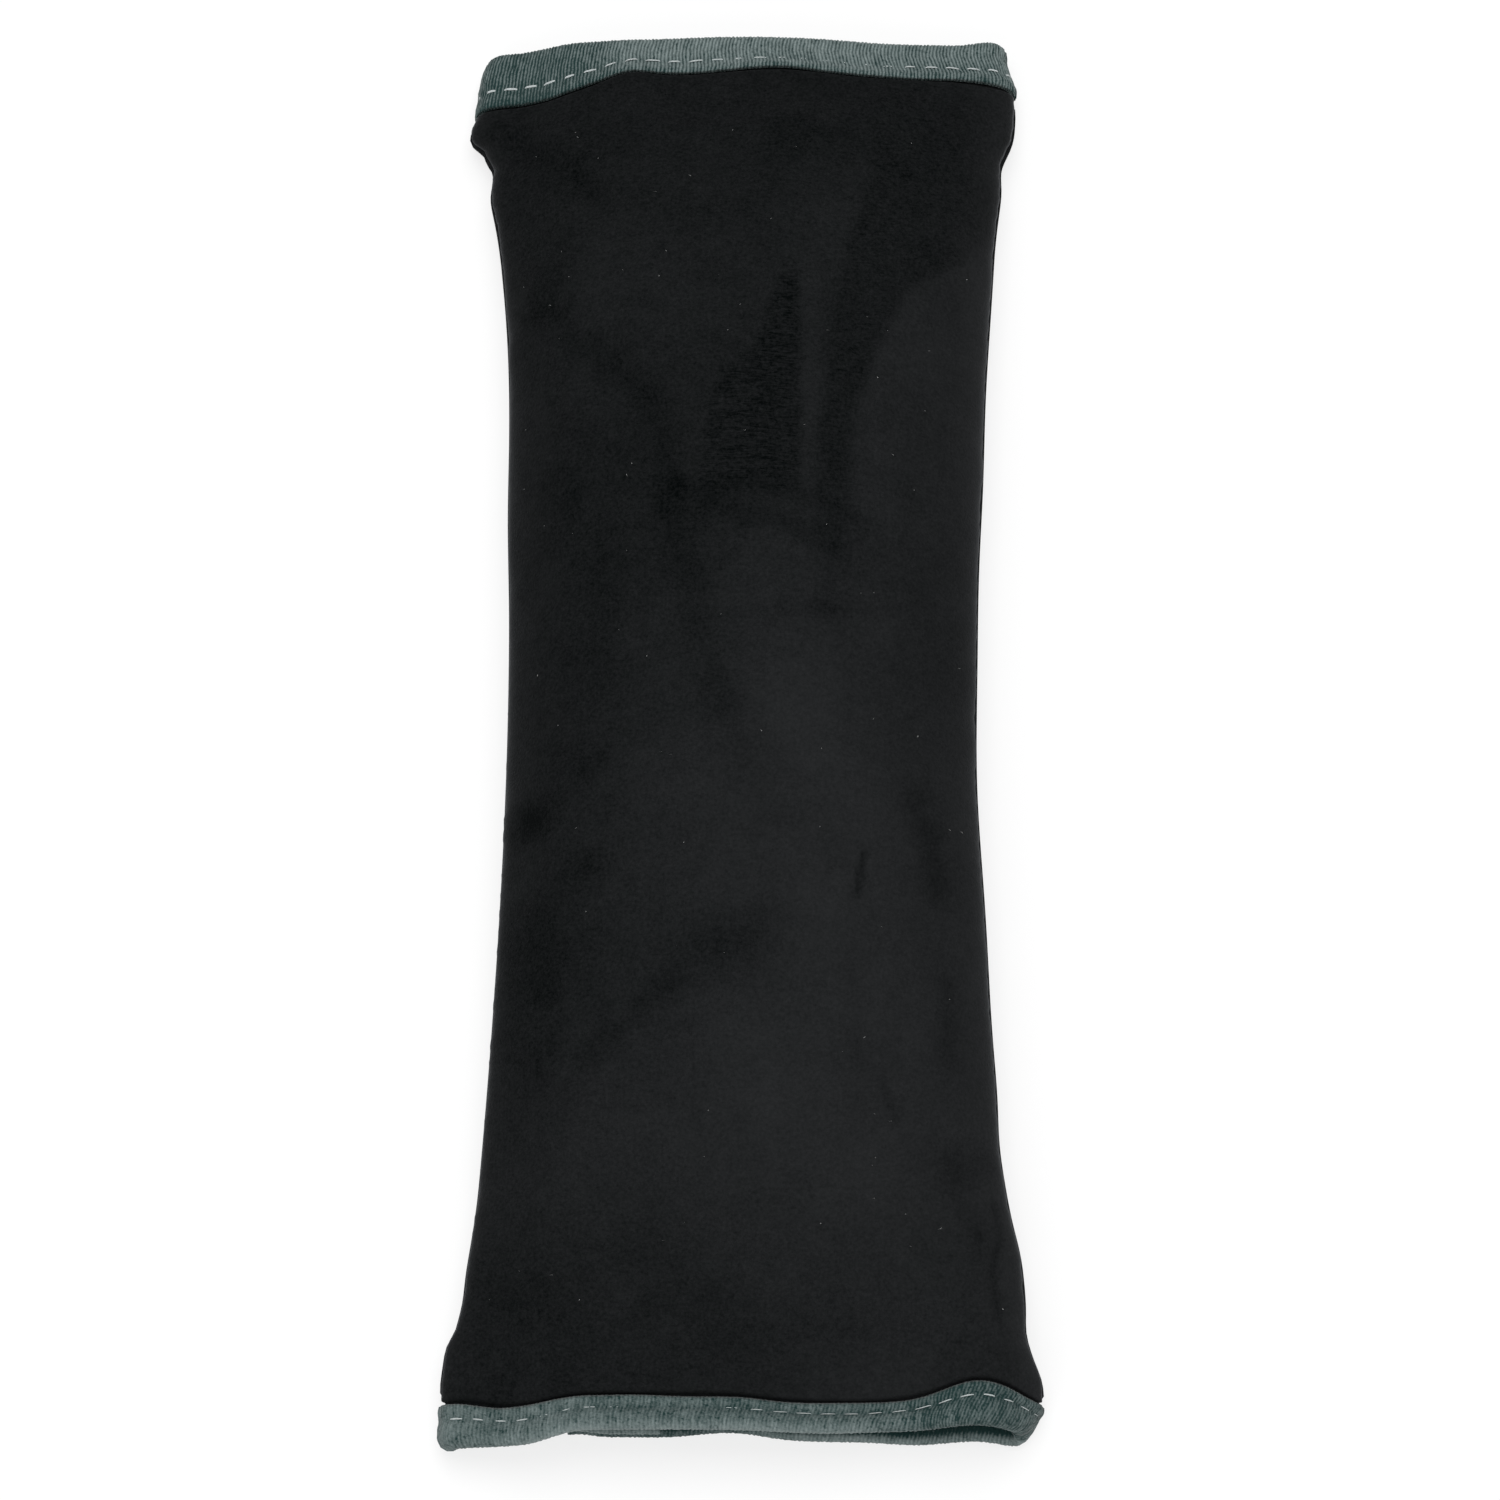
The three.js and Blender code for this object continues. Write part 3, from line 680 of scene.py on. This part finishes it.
cs, _ = even_steps(5.0, 7.0, 0.0, 1.3)
cs = cs[None, :]
base = wrap(cs, ys, 0.0)
seam_way = np.linalg.norm(base - base[:, :1], axis=-1)
edge_way = np.where(cs > 6, FLAP_EDGE_X - base[..., 0], FAR_FROM_EDGE)
depth = tape_dip(ys) + seam_roll(seam_way) + 0.3 * seam_roll(edge_way)
flap = layer("closing_flap_velour", wrap(cs, ys, depth), wrap(cs, ys, depth + VELOUR))
give_attribute(flap, "nap_and_painted_light", np.full(len(flap.data.vertices), 0.45))
flap.data.materials.append(velour)
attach(flap, "root")
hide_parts("closing_flap")


# The stuffing and the lining under it: loose white fibre between the upper panel and a thin black
# plain-weave lining. The lining is caught in both side seams and is the roof of the belt's channel.

LINING_RISE_START = 92.4
LINING_RISE_END = 128.0
WEAVE_SCALE = 620
FILLING_HALF = 113.0
FILLING_FULL = 92.0
FILLING_ROUND = 22.0
FILLING_CLEARANCE = 2.2


def lining_points(c, y, drop):
    """A face of the lining: level with the side seams below the stuffing, rising near the mouths to lie
    against the upper panel."""
    s = Section(y)
    under = tape_dip(y) + VELOUR + GAP
    hugging = wrap(c, y, under + drop)
    across = np.clip((hugging[..., 0] - s.right_x) / (s.left_x - s.right_x), 0, 1)
    level = s.right_z + (s.left_z - s.right_z) * across + LINING / 2 - drop
    level = level - SINK * ease(-hugging[..., 0], SINK_START, SINK_END)
    rise = ease(np.abs(y), LINING_RISE_START, LINING_RISE_END) * ease(np.minimum(c - 2, 5 - c), 0.25, 0.5)
    hugging[..., 2] = level + (hugging[..., 2] - level) * rise
    return hugging


ys = lengthwise(CLOTH_END, 2.5)[:, None]
cs, _ = even_steps(2.02, 4.98, 0.0, 2.0)
cs = cs[None, :]
lining = layer("channel_lining_cloth", lining_points(cs, ys, 0.0), lining_points(cs, ys, LINING))
finish = Finish("black_lining", Roughness=0.8, Specular_IOR_Level=0.3)
weave = {"Vector": finish.place(), "Scale": WEAVE_SCALE}
threads = finish.node("ShaderNodeTexWave", {"bands_direction": "X"}, weave)
picks = finish.node("ShaderNodeTexWave", {"bands_direction": "Y"}, weave)
finish.feed("Base Color", finish.mixed(threads * picks, rgb(16, 17, 19), rgb(34, 35, 38)))
finish.feed("Normal", finish.bumped(threads + picks, 0.4, 0.1))
lining.data.materials.append(finish.material)
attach(lining, "root")
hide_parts("channel_lining")

ys = lengthwise(FILLING_HALF, 3.0)[:, None]
cs = np.linspace(2.45, 4.55, 50)[None, :]
share = 0.3 + 0.7 * np.sqrt(1 - np.clip((np.abs(ys) - FILLING_FULL) / FILLING_ROUND, 0, 1) ** 2)
floor = lining_points(cs, ys, 0.0) + np.array([0, 0, GAP])
roof = wrap(cs, ys, VELOUR + FILLING_CLEARANCE)
filling = layer("fibre_filling", floor + (roof - floor) * share[..., None], floor)
finish = Finish("white_fibre_fill", Roughness=1.0, Specular_IOR_Level=0.1)
clumps = finish.noise(6.0, 5.0, rough=0.7)
finish.feed("Base Color", finish.mixed(clumps, rgb(205, 205, 200), rgb(240, 240, 236)))
finish.feed("Normal", finish.bumped(clumps, 0.6, 1.0))
filling.data.materials.append(finish.material)
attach(filling, "root")
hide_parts("padding_core")


# The bindings: a grey-teal rib-knit tape folded over all the layers of each mouth, one unbroken strip
# from the lower panel's free edge round both corners to the flap's. Its ribs run over the fold.

RIB_PITCH = 0.72
RIB_HEIGHT = 0.17
RIB_COLUMNS = 6
STITCH_INSET = 3.3
STITCH_BACK = TAPE_REACH - STITCH_INSET
STITCH_PITCH = 4.3
MOUTH_LINE = HALF_LENGTH - 6
OUTER_STEPS = 30
RIM_STEPS = 3
INNER_STEPS = 9


def tape_stack(c):
    """Depth of the layers inside the folded tape, growing round both sides where the lining joins in."""
    return LOWER_STACK + (UPPER_STACK - LOWER_STACK) * np.clip(np.minimum(c - 1, 6 - c), 0, 1)


def tape_path(q, stack):
    """The middle of the folded tape, for q from 0 at its outer edge to 1 at its inner edge: two straight
    legs and a half ellipse between them, as the distance back from the mouth's edge, the depth, and the
    direction that faces out of the fold."""
    leg = TAPE_REACH - TAPE / 2 - FOLD_REACH
    bend = np.pi * (FOLD_REACH - TAPE / 2) * 0.55
    place = q * (2 * leg + bend)
    turn = np.clip((place - leg) / bend, 0, 1) * np.pi
    straight = np.where(place < leg, leg - place, np.where(place > leg + bend, place - leg - bend, 0))
    back = FOLD_REACH + straight - (FOLD_REACH - TAPE / 2) * np.sin(turn)
    deep = stack / 2 - (stack / 2 - TAPE / 2) * np.cos(turn)
    return back, deep, -np.sin(turn), -np.cos(turn)


def tape_puff(back, way, flat):
    """How the outer leg swells and sinks: a full roll along the fold, a lip along its edge, and a groove
    where the stitches pull it down, deepest at each needle hole. It is stretched smoother round the
    sides, where flat falls from 1."""
    hole = 0.5 + 0.5 * np.cos(2 * np.pi * way / STITCH_PITCH)
    groove = (0.34 + 0.16 * hole) * hill(back, STITCH_BACK, 0.95)
    lip = 0.2 * hill(back, TAPE_REACH - 1.5, 0.9) - 0.35 * flat * ease(back, TAPE_REACH - 0.9, TAPE_REACH)
    return 0.15 * hill(back, 3.4, 2.0) + lip - groove * flat


# The outline of the tape's own thickness: along its outer side, round its inner edge, back along its inner
# side and round its outer edge. loop_q is the place along the fold and loop_turn the turn from outside.
outer_q = np.linspace(0, 1, OUTER_STEPS)
rim_turn = np.linspace(0, np.pi, RIM_STEPS + 2)[1:-1]
inner_q = np.linspace(1, 0, INNER_STEPS)
loop_q = np.concatenate([outer_q, np.ones(RIM_STEPS), inner_q, np.zeros(RIM_STEPS)])
loop_turn = np.concatenate([np.zeros(OUTER_STEPS), rim_turn, np.full(INNER_STEPS, np.pi), np.pi + rim_turn])


def binding(side):
    """One mouth's tape. Columns run round the mouth, RIB_COLUMNS to a rib, and each carries the closed
    outline of the folded tape, which stands out as a wave across the ribs on its outer side. shade is
    painted shade and light on the yarn's colour: painted shade in the groove, on the lip, where the tape
    turns down at its corners, at the standing fold and deep in the near mouth, and painted light along the
    near fold's rim and on the lower leg that shows under it."""
    c, way = even_steps(0.0, 7.0, side * MOUTH_LINE, RIB_PITCH / RIB_COLUMNS)
    c, way = c[:, None], way[:, None]
    stack = tape_stack(c)
    back, deep, out_back, out_deep = tape_path(loop_q[None, :], stack)
    turn = loop_turn[None, :]
    plain_x = wrap(c, side * TAPE_EDGE, 0.0)[..., 0]
    ribbed = 1.15 if side > 0 else 0.4 + 0.2 * ease(plain_x, 14, 34)
    uneven = ribbed * (1 + 0.3 * np.sin(way * 0.9 + 2 * np.sin(way * 0.23 + side)))
    rib = RIB_HEIGHT * uneven * (np.sqrt(np.abs(np.sin(np.pi * way / RIB_PITCH))) - 1)
    fuzz = 0.035 * np.sin(way * 4.1 + 3 * np.sin(loop_q * 23 + way * 0.6))
    fuzz = fuzz + 0.03 * np.sin(way * 7.3 + loop_q * 61)
    off = (TAPE / 2) * np.cos(turn) + (rib + fuzz) * (np.cos(turn) > 0.5)
    outer_leg = (loop_q[None, :] < 0.45) & (turn < 3)
    flat = 1 - 0.8 * (hill(c, 2.0, 0.75) + hill(c, 5.0, 0.75))
    off = off + tape_puff(back, way, flat) * outer_leg
    along = (TAPE / 2) * np.sin(turn)
    back = back + out_back * off + along
    deep = deep + out_deep * off
    wander = 0.16 * np.sin(way / 7.3 + side) + 0.1 * np.sin(way / 3.1)
    place = HALF_LENGTH - back + wander * ease(back, 4, TAPE_REACH) * (loop_q[None, :] < 0.5)
    points = wrap(c, side * place, deep)
    count, ring = points.shape[:2]
    quads = ring_quads(count, ring)
    caps = [np.arange(ring), np.arange(ring)[::-1] + (count - 1) * ring]
    name = f"{'near' if side < 0 else 'far'}_rib_binding"
    piece = mesh_from_faces(name, points.reshape(-1, 3), quads, caps)
    give_attribute(piece, "way", np.broadcast_to(way, points.shape[:2]))
    give_attribute(piece, "across", np.broadcast_to(loop_q[None, :], points.shape[:2]))
    x, is_lip = points[..., 0], ease(back + 0 * way, STITCH_BACK + 0.4, TAPE_REACH - 0.8) * outer_leg
    # Painted shade: the yarn a little darker everywhere, and darker in the stitch groove.
    shade = -0.15 - 0.2 * hill(back, STITCH_BACK, 0.9) * outer_leg
    # Painted shade where the far tape turns down at its left corner and on its lip, and darker towards the
    # right.
    if side > 0:
        shade = shade - 0.62 * ease(-x, 20, 38) - 0.13 * ease(x, 20, 40) - 0.35 * is_lip
    else:
        # Painted highlight along the near fold's rim; painted shade at the standing fold, on the lip, and
        # darker from the near middle rightwards.
        painted_fold_highlight = hill(loop_q[None, :], 0.485, 0.045) * (turn < 3) * (c > 2.5)
        painted_fold_highlight = painted_fold_highlight * ease(x, -46, -38) * (1 - ease(x, 16, 30))
        shade = shade - 0.18 - 0.33 * hill(x, 42, 11) - 0.17 * ease(x, -36, -20) - 0.12 * is_lip + 0.8 * painted_fold_highlight
        # Painted light on the lower leg that shows under the near fold, a little darker on its left, and
        # painted shade deeper in the mouth.
        shade = shade + (c < 1.7) * (0.95 * ease(x, -8, 14) - 0.2 - 1.4 * ease(back, 0.6, 2.0))
    give_attribute(piece, "shade", shade)
    give_attribute(piece, "ribbed", np.broadcast_to(ribbed, points.shape[:2]))
    return piece


finish = Finish(
    "grey_teal_rib_knit", Roughness=0.88, Specular_IOR_Level=0.2, Sheen_Weight=0.12, Sheen_Roughness=0.4
)
way, across, shade = finish.attribute("way"), finish.attribute("across"), finish.attribute("shade")
crooked = way + (finish.noise(2.2, 3.0) - 0.5) * 0.7
# Painted shade between the ribs: the colour darkens in the gaps and lightens on the ridges.
rib_painted_shade = finish.node("ShaderNodeMath", {"operation": "SINE"}, {0: crooked * (np.pi / RIB_PITCH)})
rib_painted_shade = (rib_painted_shade * rib_painted_shade - 0.5) * finish.attribute("ribbed")
rib = finish.node("ShaderNodeMath", {"operation": "FLOOR"}, {0: way * (1 / RIB_PITCH)})
loops = finish.node("ShaderNodeMath", {"operation": "SINE"}, {0: across * (2 * np.pi * 30) + rib * 2.4})
fuzz = finish.noise(0.45, 4.0, rough=0.75)
yarn = finish.noise(1.0, 3.0, finish.stretched((1.3, 0.28, 1.0)), 0.6, 0.5)
pinholes = finish.ramp(finish.noise(0.8, 1.0), 0.3, 0.4)
blotch = finish.noise(4.0, 3.0)
# shade brings the binding's painted shade and light into the yarn's colour.
tone = shade + rib_painted_shade * 0.9 + loops * 0.06 + (fuzz - 0.5) * 1.8 + (yarn - 0.5) * 1.7 + (blotch - 0.5) * 0.8
tone = tone + pinholes * 0.45
finish.feed("Base Color", finish.mixed(finish.ramp(tone, -0.7, 1.4), rgb(18, 43, 42), rgb(124, 135, 134)))
finish.feed("Normal", finish.bumped(loops * 0.2 + fuzz * 1.4, 0.5, 0.14))
rib_knit = finish.material

for side, node in ((-1, "near_mouth_binding"), (1, "far_mouth_binding")):
    tape = binding(side)
    tape.data.materials.append(rib_knit)
    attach(tape, "root")
    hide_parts(node)


# The lockstitch that holds each binding: light grey twisted thread, one row a third of the way across
# the tape from its inner edge, sunk in its own groove. Each stitch dives into the cloth at both ends.

THREAD_RADIUS = 0.16
THREAD_RINGS = 9
THREAD_SIDES = 6
STITCH_LENGTH = 2.8
STITCH_HEIGHT = 0.24


def tube_faces(count, rings, sides):
    """Quads and end caps of count like tubes, each of so many rings with so many sides."""
    tube = ring_quads(rings, sides)
    bases = np.arange(count) * rings * sides
    near_cap, far_cap = np.arange(sides), (rings - 1) * sides + np.arange(sides)[::-1]
    caps = [base + cap for base in bases for cap in (near_cap, far_cap)]
    return (tube[None] + bases[:, None, None]).reshape(-1, 4), caps


def stitches(name, centres, spot, length, height, seed, hidden=0):
    """A row of stitches as one mesh. Each is a tube along a short line, lifted in the middle and sunk at
    its ends along a fourth power, with a slight twist and some unevenness. spot turns a place along the
    row, a sideways offset and a height into a point of the surface. hidden is how much deeper each stitch
    lies."""
    rng = np.random.default_rng(seed)
    n = len(centres)
    t = np.linspace(-1, 1, THREAD_RINGS)[None, :, None]
    turn = np.linspace(0, 2 * np.pi, THREAD_SIDES, endpoint=False)[None, None, :]
    reach = (length / 2) * rng.uniform(0.8, 1.1, n)[:, None, None]
    sunk = 0.08 + 0.08 * np.sin(centres * 0.11 + seed) + rng.uniform(-0.05, 0.08, n) + hidden
    sunk = sunk[:, None, None]
    slant = rng.uniform(-0.12, 0.12, n)[:, None, None]
    thick = THREAD_RADIUS * (1 - 0.25 * t**6) * (1 + 0.14 * np.cos(2 * turn - 5 * t))
    way = centres[:, None, None] + reach * t + 0 * turn
    lift = height * (1 - 1.9 * t**4) - sunk + thick * np.sin(turn)
    aside = slant * t + thick * np.cos(turn)
    points = spot(way, aside + 0 * way, lift + 0 * way)
    return mesh_from_faces(name, points.reshape(-1, 3), *tube_faces(n, THREAD_RINGS, THREAD_SIDES))


def thread_finish(name, dark, light):
    """Twisted thread: fine light and dark strands and a slight gloss."""
    finish = Finish(name, Roughness=0.6, Specular_IOR_Level=0.35)
    strands = finish.noise(0.25, 2.0)
    finish.feed("Base Color", finish.mixed(strands, dark, light))
    finish.feed("Normal", finish.bumped(strands, 0.4, 0.06))
    return finish.material


grey_thread = thread_finish("light_grey_thread", rgb(128, 137, 138), rgb(196, 201, 200))

# Along part of each mouth's upper edge the thread sinks out of sight between the ribs.
for side in (-1, 1):
    c_line, way_line = even_steps(0.0, 7.0, side * MOUTH_LINE, 0.1)
    centres = np.arange(2.4, way_line[-1] - 2, STITCH_PITCH)
    centre_c = np.interp(centres, way_line, c_line)
    centre_x = wrap(centre_c, side * TAPE_EDGE, 0.0)[..., 0]
    if side > 0:
        hidden = 0.25 * ease(centre_x, -20, 2) * (1 - ease(centre_x, 30, 36))
    else:
        hidden = 0.34 * ease(centre_x, -42, -33) * (1 - ease(centre_x, -10, 8))
    hidden = hidden * (centre_c > 2.5)
    for face in ("outer", "inner"):

        def spot(way, aside, lift):
            """A place on the outer or the inner leg of the tape, at the stitching line."""
            c = np.interp(way, way_line, c_line)
            sunk = 0.30 if face == "outer" else tape_stack(c) + 0.02
            deep = sunk - lift if face == "outer" else sunk + lift
            return wrap(c, side * (HALF_LENGTH - STITCH_BACK + aside), deep)

        name = f"{'near' if side < 0 else 'far'}_{face}_stitching"
        row = stitches(name, centres, spot, STITCH_LENGTH, STITCH_HEIGHT, seed=side + 5, hidden=hidden)
        row.data.materials.append(grey_thread)
        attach(row, "root")


# The closure: a hook strip on the lower panel's free edge and a loop strip on the flap, pressed into
# each other. Two rows of black thread, which show under the pad, hold the hook strip.

STRIP_HALF = 118.0
STRIP_MARGIN = 2.0
NUB_PITCH_ACROSS = 1.5
NUB_PITCH_ALONG = 1.9


def strip(name, back_z, face_z, pile, node, slot, colours):
    """A fastener strip: a flat tape whose pile face is a fine waffle of rows of hooks or loops. back_z is
    the height of its sewn back and face_z that of the tips of its pile."""
    x = np.linspace(LOWER_EDGE_X + STRIP_MARGIN, FLAP_EDGE_X - STRIP_MARGIN, 53)[None, :]
    y = lengthwise(STRIP_HALF, 0.9)[:, None]
    bed = np.minimum(ease(x, x.min() + 0.6, x.min() + 1.2), 1 - ease(x, x.max() - 1.2, x.max() - 0.6))
    across = 0.5 + 0.5 * np.sin(x * 2 * np.pi / NUB_PITCH_ACROSS)
    nubs = pile * bed * across * (0.5 + 0.5 * np.sin(y * 2 * np.pi / NUB_PITCH_ALONG))
    into_back = np.sign(back_z - face_z)
    face = np.stack(np.broadcast_arrays(x, y, face_z + into_back * (pile - nubs)), -1)
    back = np.stack(np.broadcast_arrays(x, y, back_z + 0 * nubs), -1)
    piece = layer(name, face, back)
    finish = Finish(slot, Roughness=0.75, Specular_IOR_Level=0.3)
    speck = finish.noise(0.4, 3.0)
    finish.feed("Base Color", finish.mixed(speck, *colours))
    finish.feed("Normal", finish.bumped(speck, 0.5, 0.15))
    piece.data.materials.append(finish.material)
    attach(piece, "root")
    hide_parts(node)


hook_colours = (rgb(12, 12, 13), rgb(30, 31, 32))
loop_colours = (rgb(14, 15, 16), rgb(38, 39, 40))
strip("hook_strip_woven", 1.3, 2.1, 0.25, "hook_strip", "black_hook_tape", hook_colours)
strip("loop_strip_woven", 3.2, 2.4, 0.2, "loop_strip", "black_loop_tape", loop_colours)

black_thread = thread_finish("black_thread", rgb(20, 21, 22), rgb(52, 54, 56))
centres = np.arange(-116, 117, SEAM_STITCH_PITCH)
for label, inset in zip(("edge", "inner"), STRIP_ROWS):

    def spot(way, aside, lift):
        """A place on the underside of the lower panel, along a row at one x."""
        return np.stack([LOWER_EDGE_X + inset + aside, way, 0.2 - lift], -1)

    row = stitches(f"strip_{label}_stitching", centres, spot, length=2.6, height=0.12, seed=31)
    row.data.materials.append(black_thread)
    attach(row, "root")


# Lint: short white fibres that cling to the velour's face, several dozen of them, most under a
# millimetre long. Each is a bent tube, thinner at its ends.

FLECK_RINGS = 5
FLECK_SIDES = 4
FLECK_RADIUS = 0.055
CROWN_HALF = 38

rng = np.random.default_rng(77)
count = 84
fleck_x = rng.uniform(-40, 40, count)
fleck_y = rng.uniform(-122, 118, count)
fleck_c = 3 + np.clip((CROWN_HALF - fleck_x) / (2 * CROWN_HALF), 0.02, 0.98)
fleck_size = 0.12 * rng.lognormal(0, 0.5, count)
heading = rng.uniform(0, np.pi, count)
t = np.linspace(-1, 1, FLECK_RINGS)[None, :, None]
turn = np.linspace(0, 2 * np.pi, FLECK_SIDES, endpoint=False)[None, None, :]
thin = FLECK_RADIUS * (1 - 0.5 * t**2)
run = fleck_size[:, None, None] * t
bend = 0.3 * fleck_size[:, None, None] * t**2
dx = run * np.cos(heading)[:, None, None] - bend * np.sin(heading)[:, None, None] + thin * np.cos(turn)
dy = run * np.sin(heading)[:, None, None] + bend * np.cos(heading)[:, None, None]
at_y = fleck_y[:, None, None] + dy
at_c = fleck_c[:, None, None] - dx / 80
ground = wrap(at_c, at_y, 0.0)
lift = upper_relief(ground[..., 0], ground[..., 1]) + 0.1 + thin * np.sin(turn)
points = wrap(at_c, at_y, -lift)
lint = mesh_from_faces("lint_flecks", points.reshape(-1, 3), *tube_faces(count, FLECK_RINGS, FLECK_SIDES))
finish = Finish("white_lint", Roughness=0.9)
finish.feed("Base Color", finish.mixed(finish.noise(0.3), rgb(105, 107, 108), rgb(168, 168, 166)))
lint.data.materials.append(finish.material)
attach(lint, "root")


# The studio: a white table top in a white room, a large soft lamp above, a weaker one in front, and the
# camera at the photograph's angle, high over the near mouth. The camera sees the table lighter than it is.

mesh = bpy.data.meshes.new("table_top")
half = 3.0
corners = [(-half, -half, 0), (half, -half, 0), (half, half, 0), (-half, half, 0)]
mesh.from_pydata(corners, [], [(0, 1, 2, 3)])
table_top = bpy.data.objects.new("table_top", mesh)
bpy.context.collection.objects.link(table_top)
material = bpy.data.materials.new("white_table")
material.use_nodes = True
tree = material.node_tree
tree.nodes.clear()
output = tree.nodes.new("ShaderNodeOutputMaterial")
mix = tree.nodes.new("ShaderNodeMixShader")
rays = tree.nodes.new("ShaderNodeLightPath")
paint = tree.nodes.new("ShaderNodeBsdfDiffuse")
paint.inputs["Color"].default_value = (0.86, 0.86, 0.86, 1)
glow = tree.nodes.new("ShaderNodeEmission")
glow.inputs["Color"].default_value = (1, 1, 1, 1)
glow.inputs["Strength"].default_value = 1.0
seen = tree.nodes.new("ShaderNodeMath")
seen.operation = "MULTIPLY"
seen.inputs[1].default_value = 0.72
tree.links.new(rays.outputs["Is Camera Ray"], seen.inputs[0])
tree.links.new(seen.outputs[0], mix.inputs[0])
tree.links.new(paint.outputs[0], mix.inputs[1])
tree.links.new(glow.outputs[0], mix.inputs[2])
tree.links.new(mix.outputs[0], output.inputs["Surface"])
mesh.materials.append(material)

world = bpy.data.worlds.new("studio_world")
world.use_nodes = True
world.node_tree.nodes["Background"].inputs["Color"].default_value = (1, 1, 1, 1)
world.node_tree.nodes["Background"].inputs["Strength"].default_value = 0.6
bpy.context.scene.world = world


def softbox(name, place, target, size, power):
    """A square area lamp that faces a point."""
    lamp = bpy.data.lights.new(name, "AREA")
    lamp.size, lamp.energy = size, power
    holder = bpy.data.objects.new(name, lamp)
    bpy.context.collection.objects.link(holder)
    away = np.array(target, float) - np.array(place, float)
    holder.location = place
    holder.rotation_euler = mathutils.Vector(away).to_track_quat("-Z", "Y").to_euler()


softbox("overhead_softbox", (0.05, 0.35, 1.15), (0, 0, 0), 0.9, 10)
softbox("front_softbox", (-0.3, -0.9, 0.75), (0, 0, 0), 0.8, 4.5)

ELEVATION = np.radians(72)
DISTANCE = 0.83
SENSOR_WIDTH = 36
FOCAL_PIXELS = 4358.3
FRAME_PIXELS = 1500
target = mathutils.Vector((0.00132, -0.00857, 0.008))
camera_data = bpy.data.cameras.new("camera")
camera_data.sensor_width = SENSOR_WIDTH
camera_data.lens = SENSOR_WIDTH * FOCAL_PIXELS / FRAME_PIXELS
camera = bpy.data.objects.new("camera", camera_data)
bpy.context.collection.objects.link(camera)
camera.location = target + mathutils.Vector((0, -np.cos(ELEVATION), np.sin(ELEVATION))) * DISTANCE
camera.rotation_euler = (target - camera.location).to_track_quat("-Z", "Y").to_euler()
camera_data.clip_start = 0.01
bpy.context.scene.camera = camera
bpy.context.scene.view_settings.view_transform = "Standard"
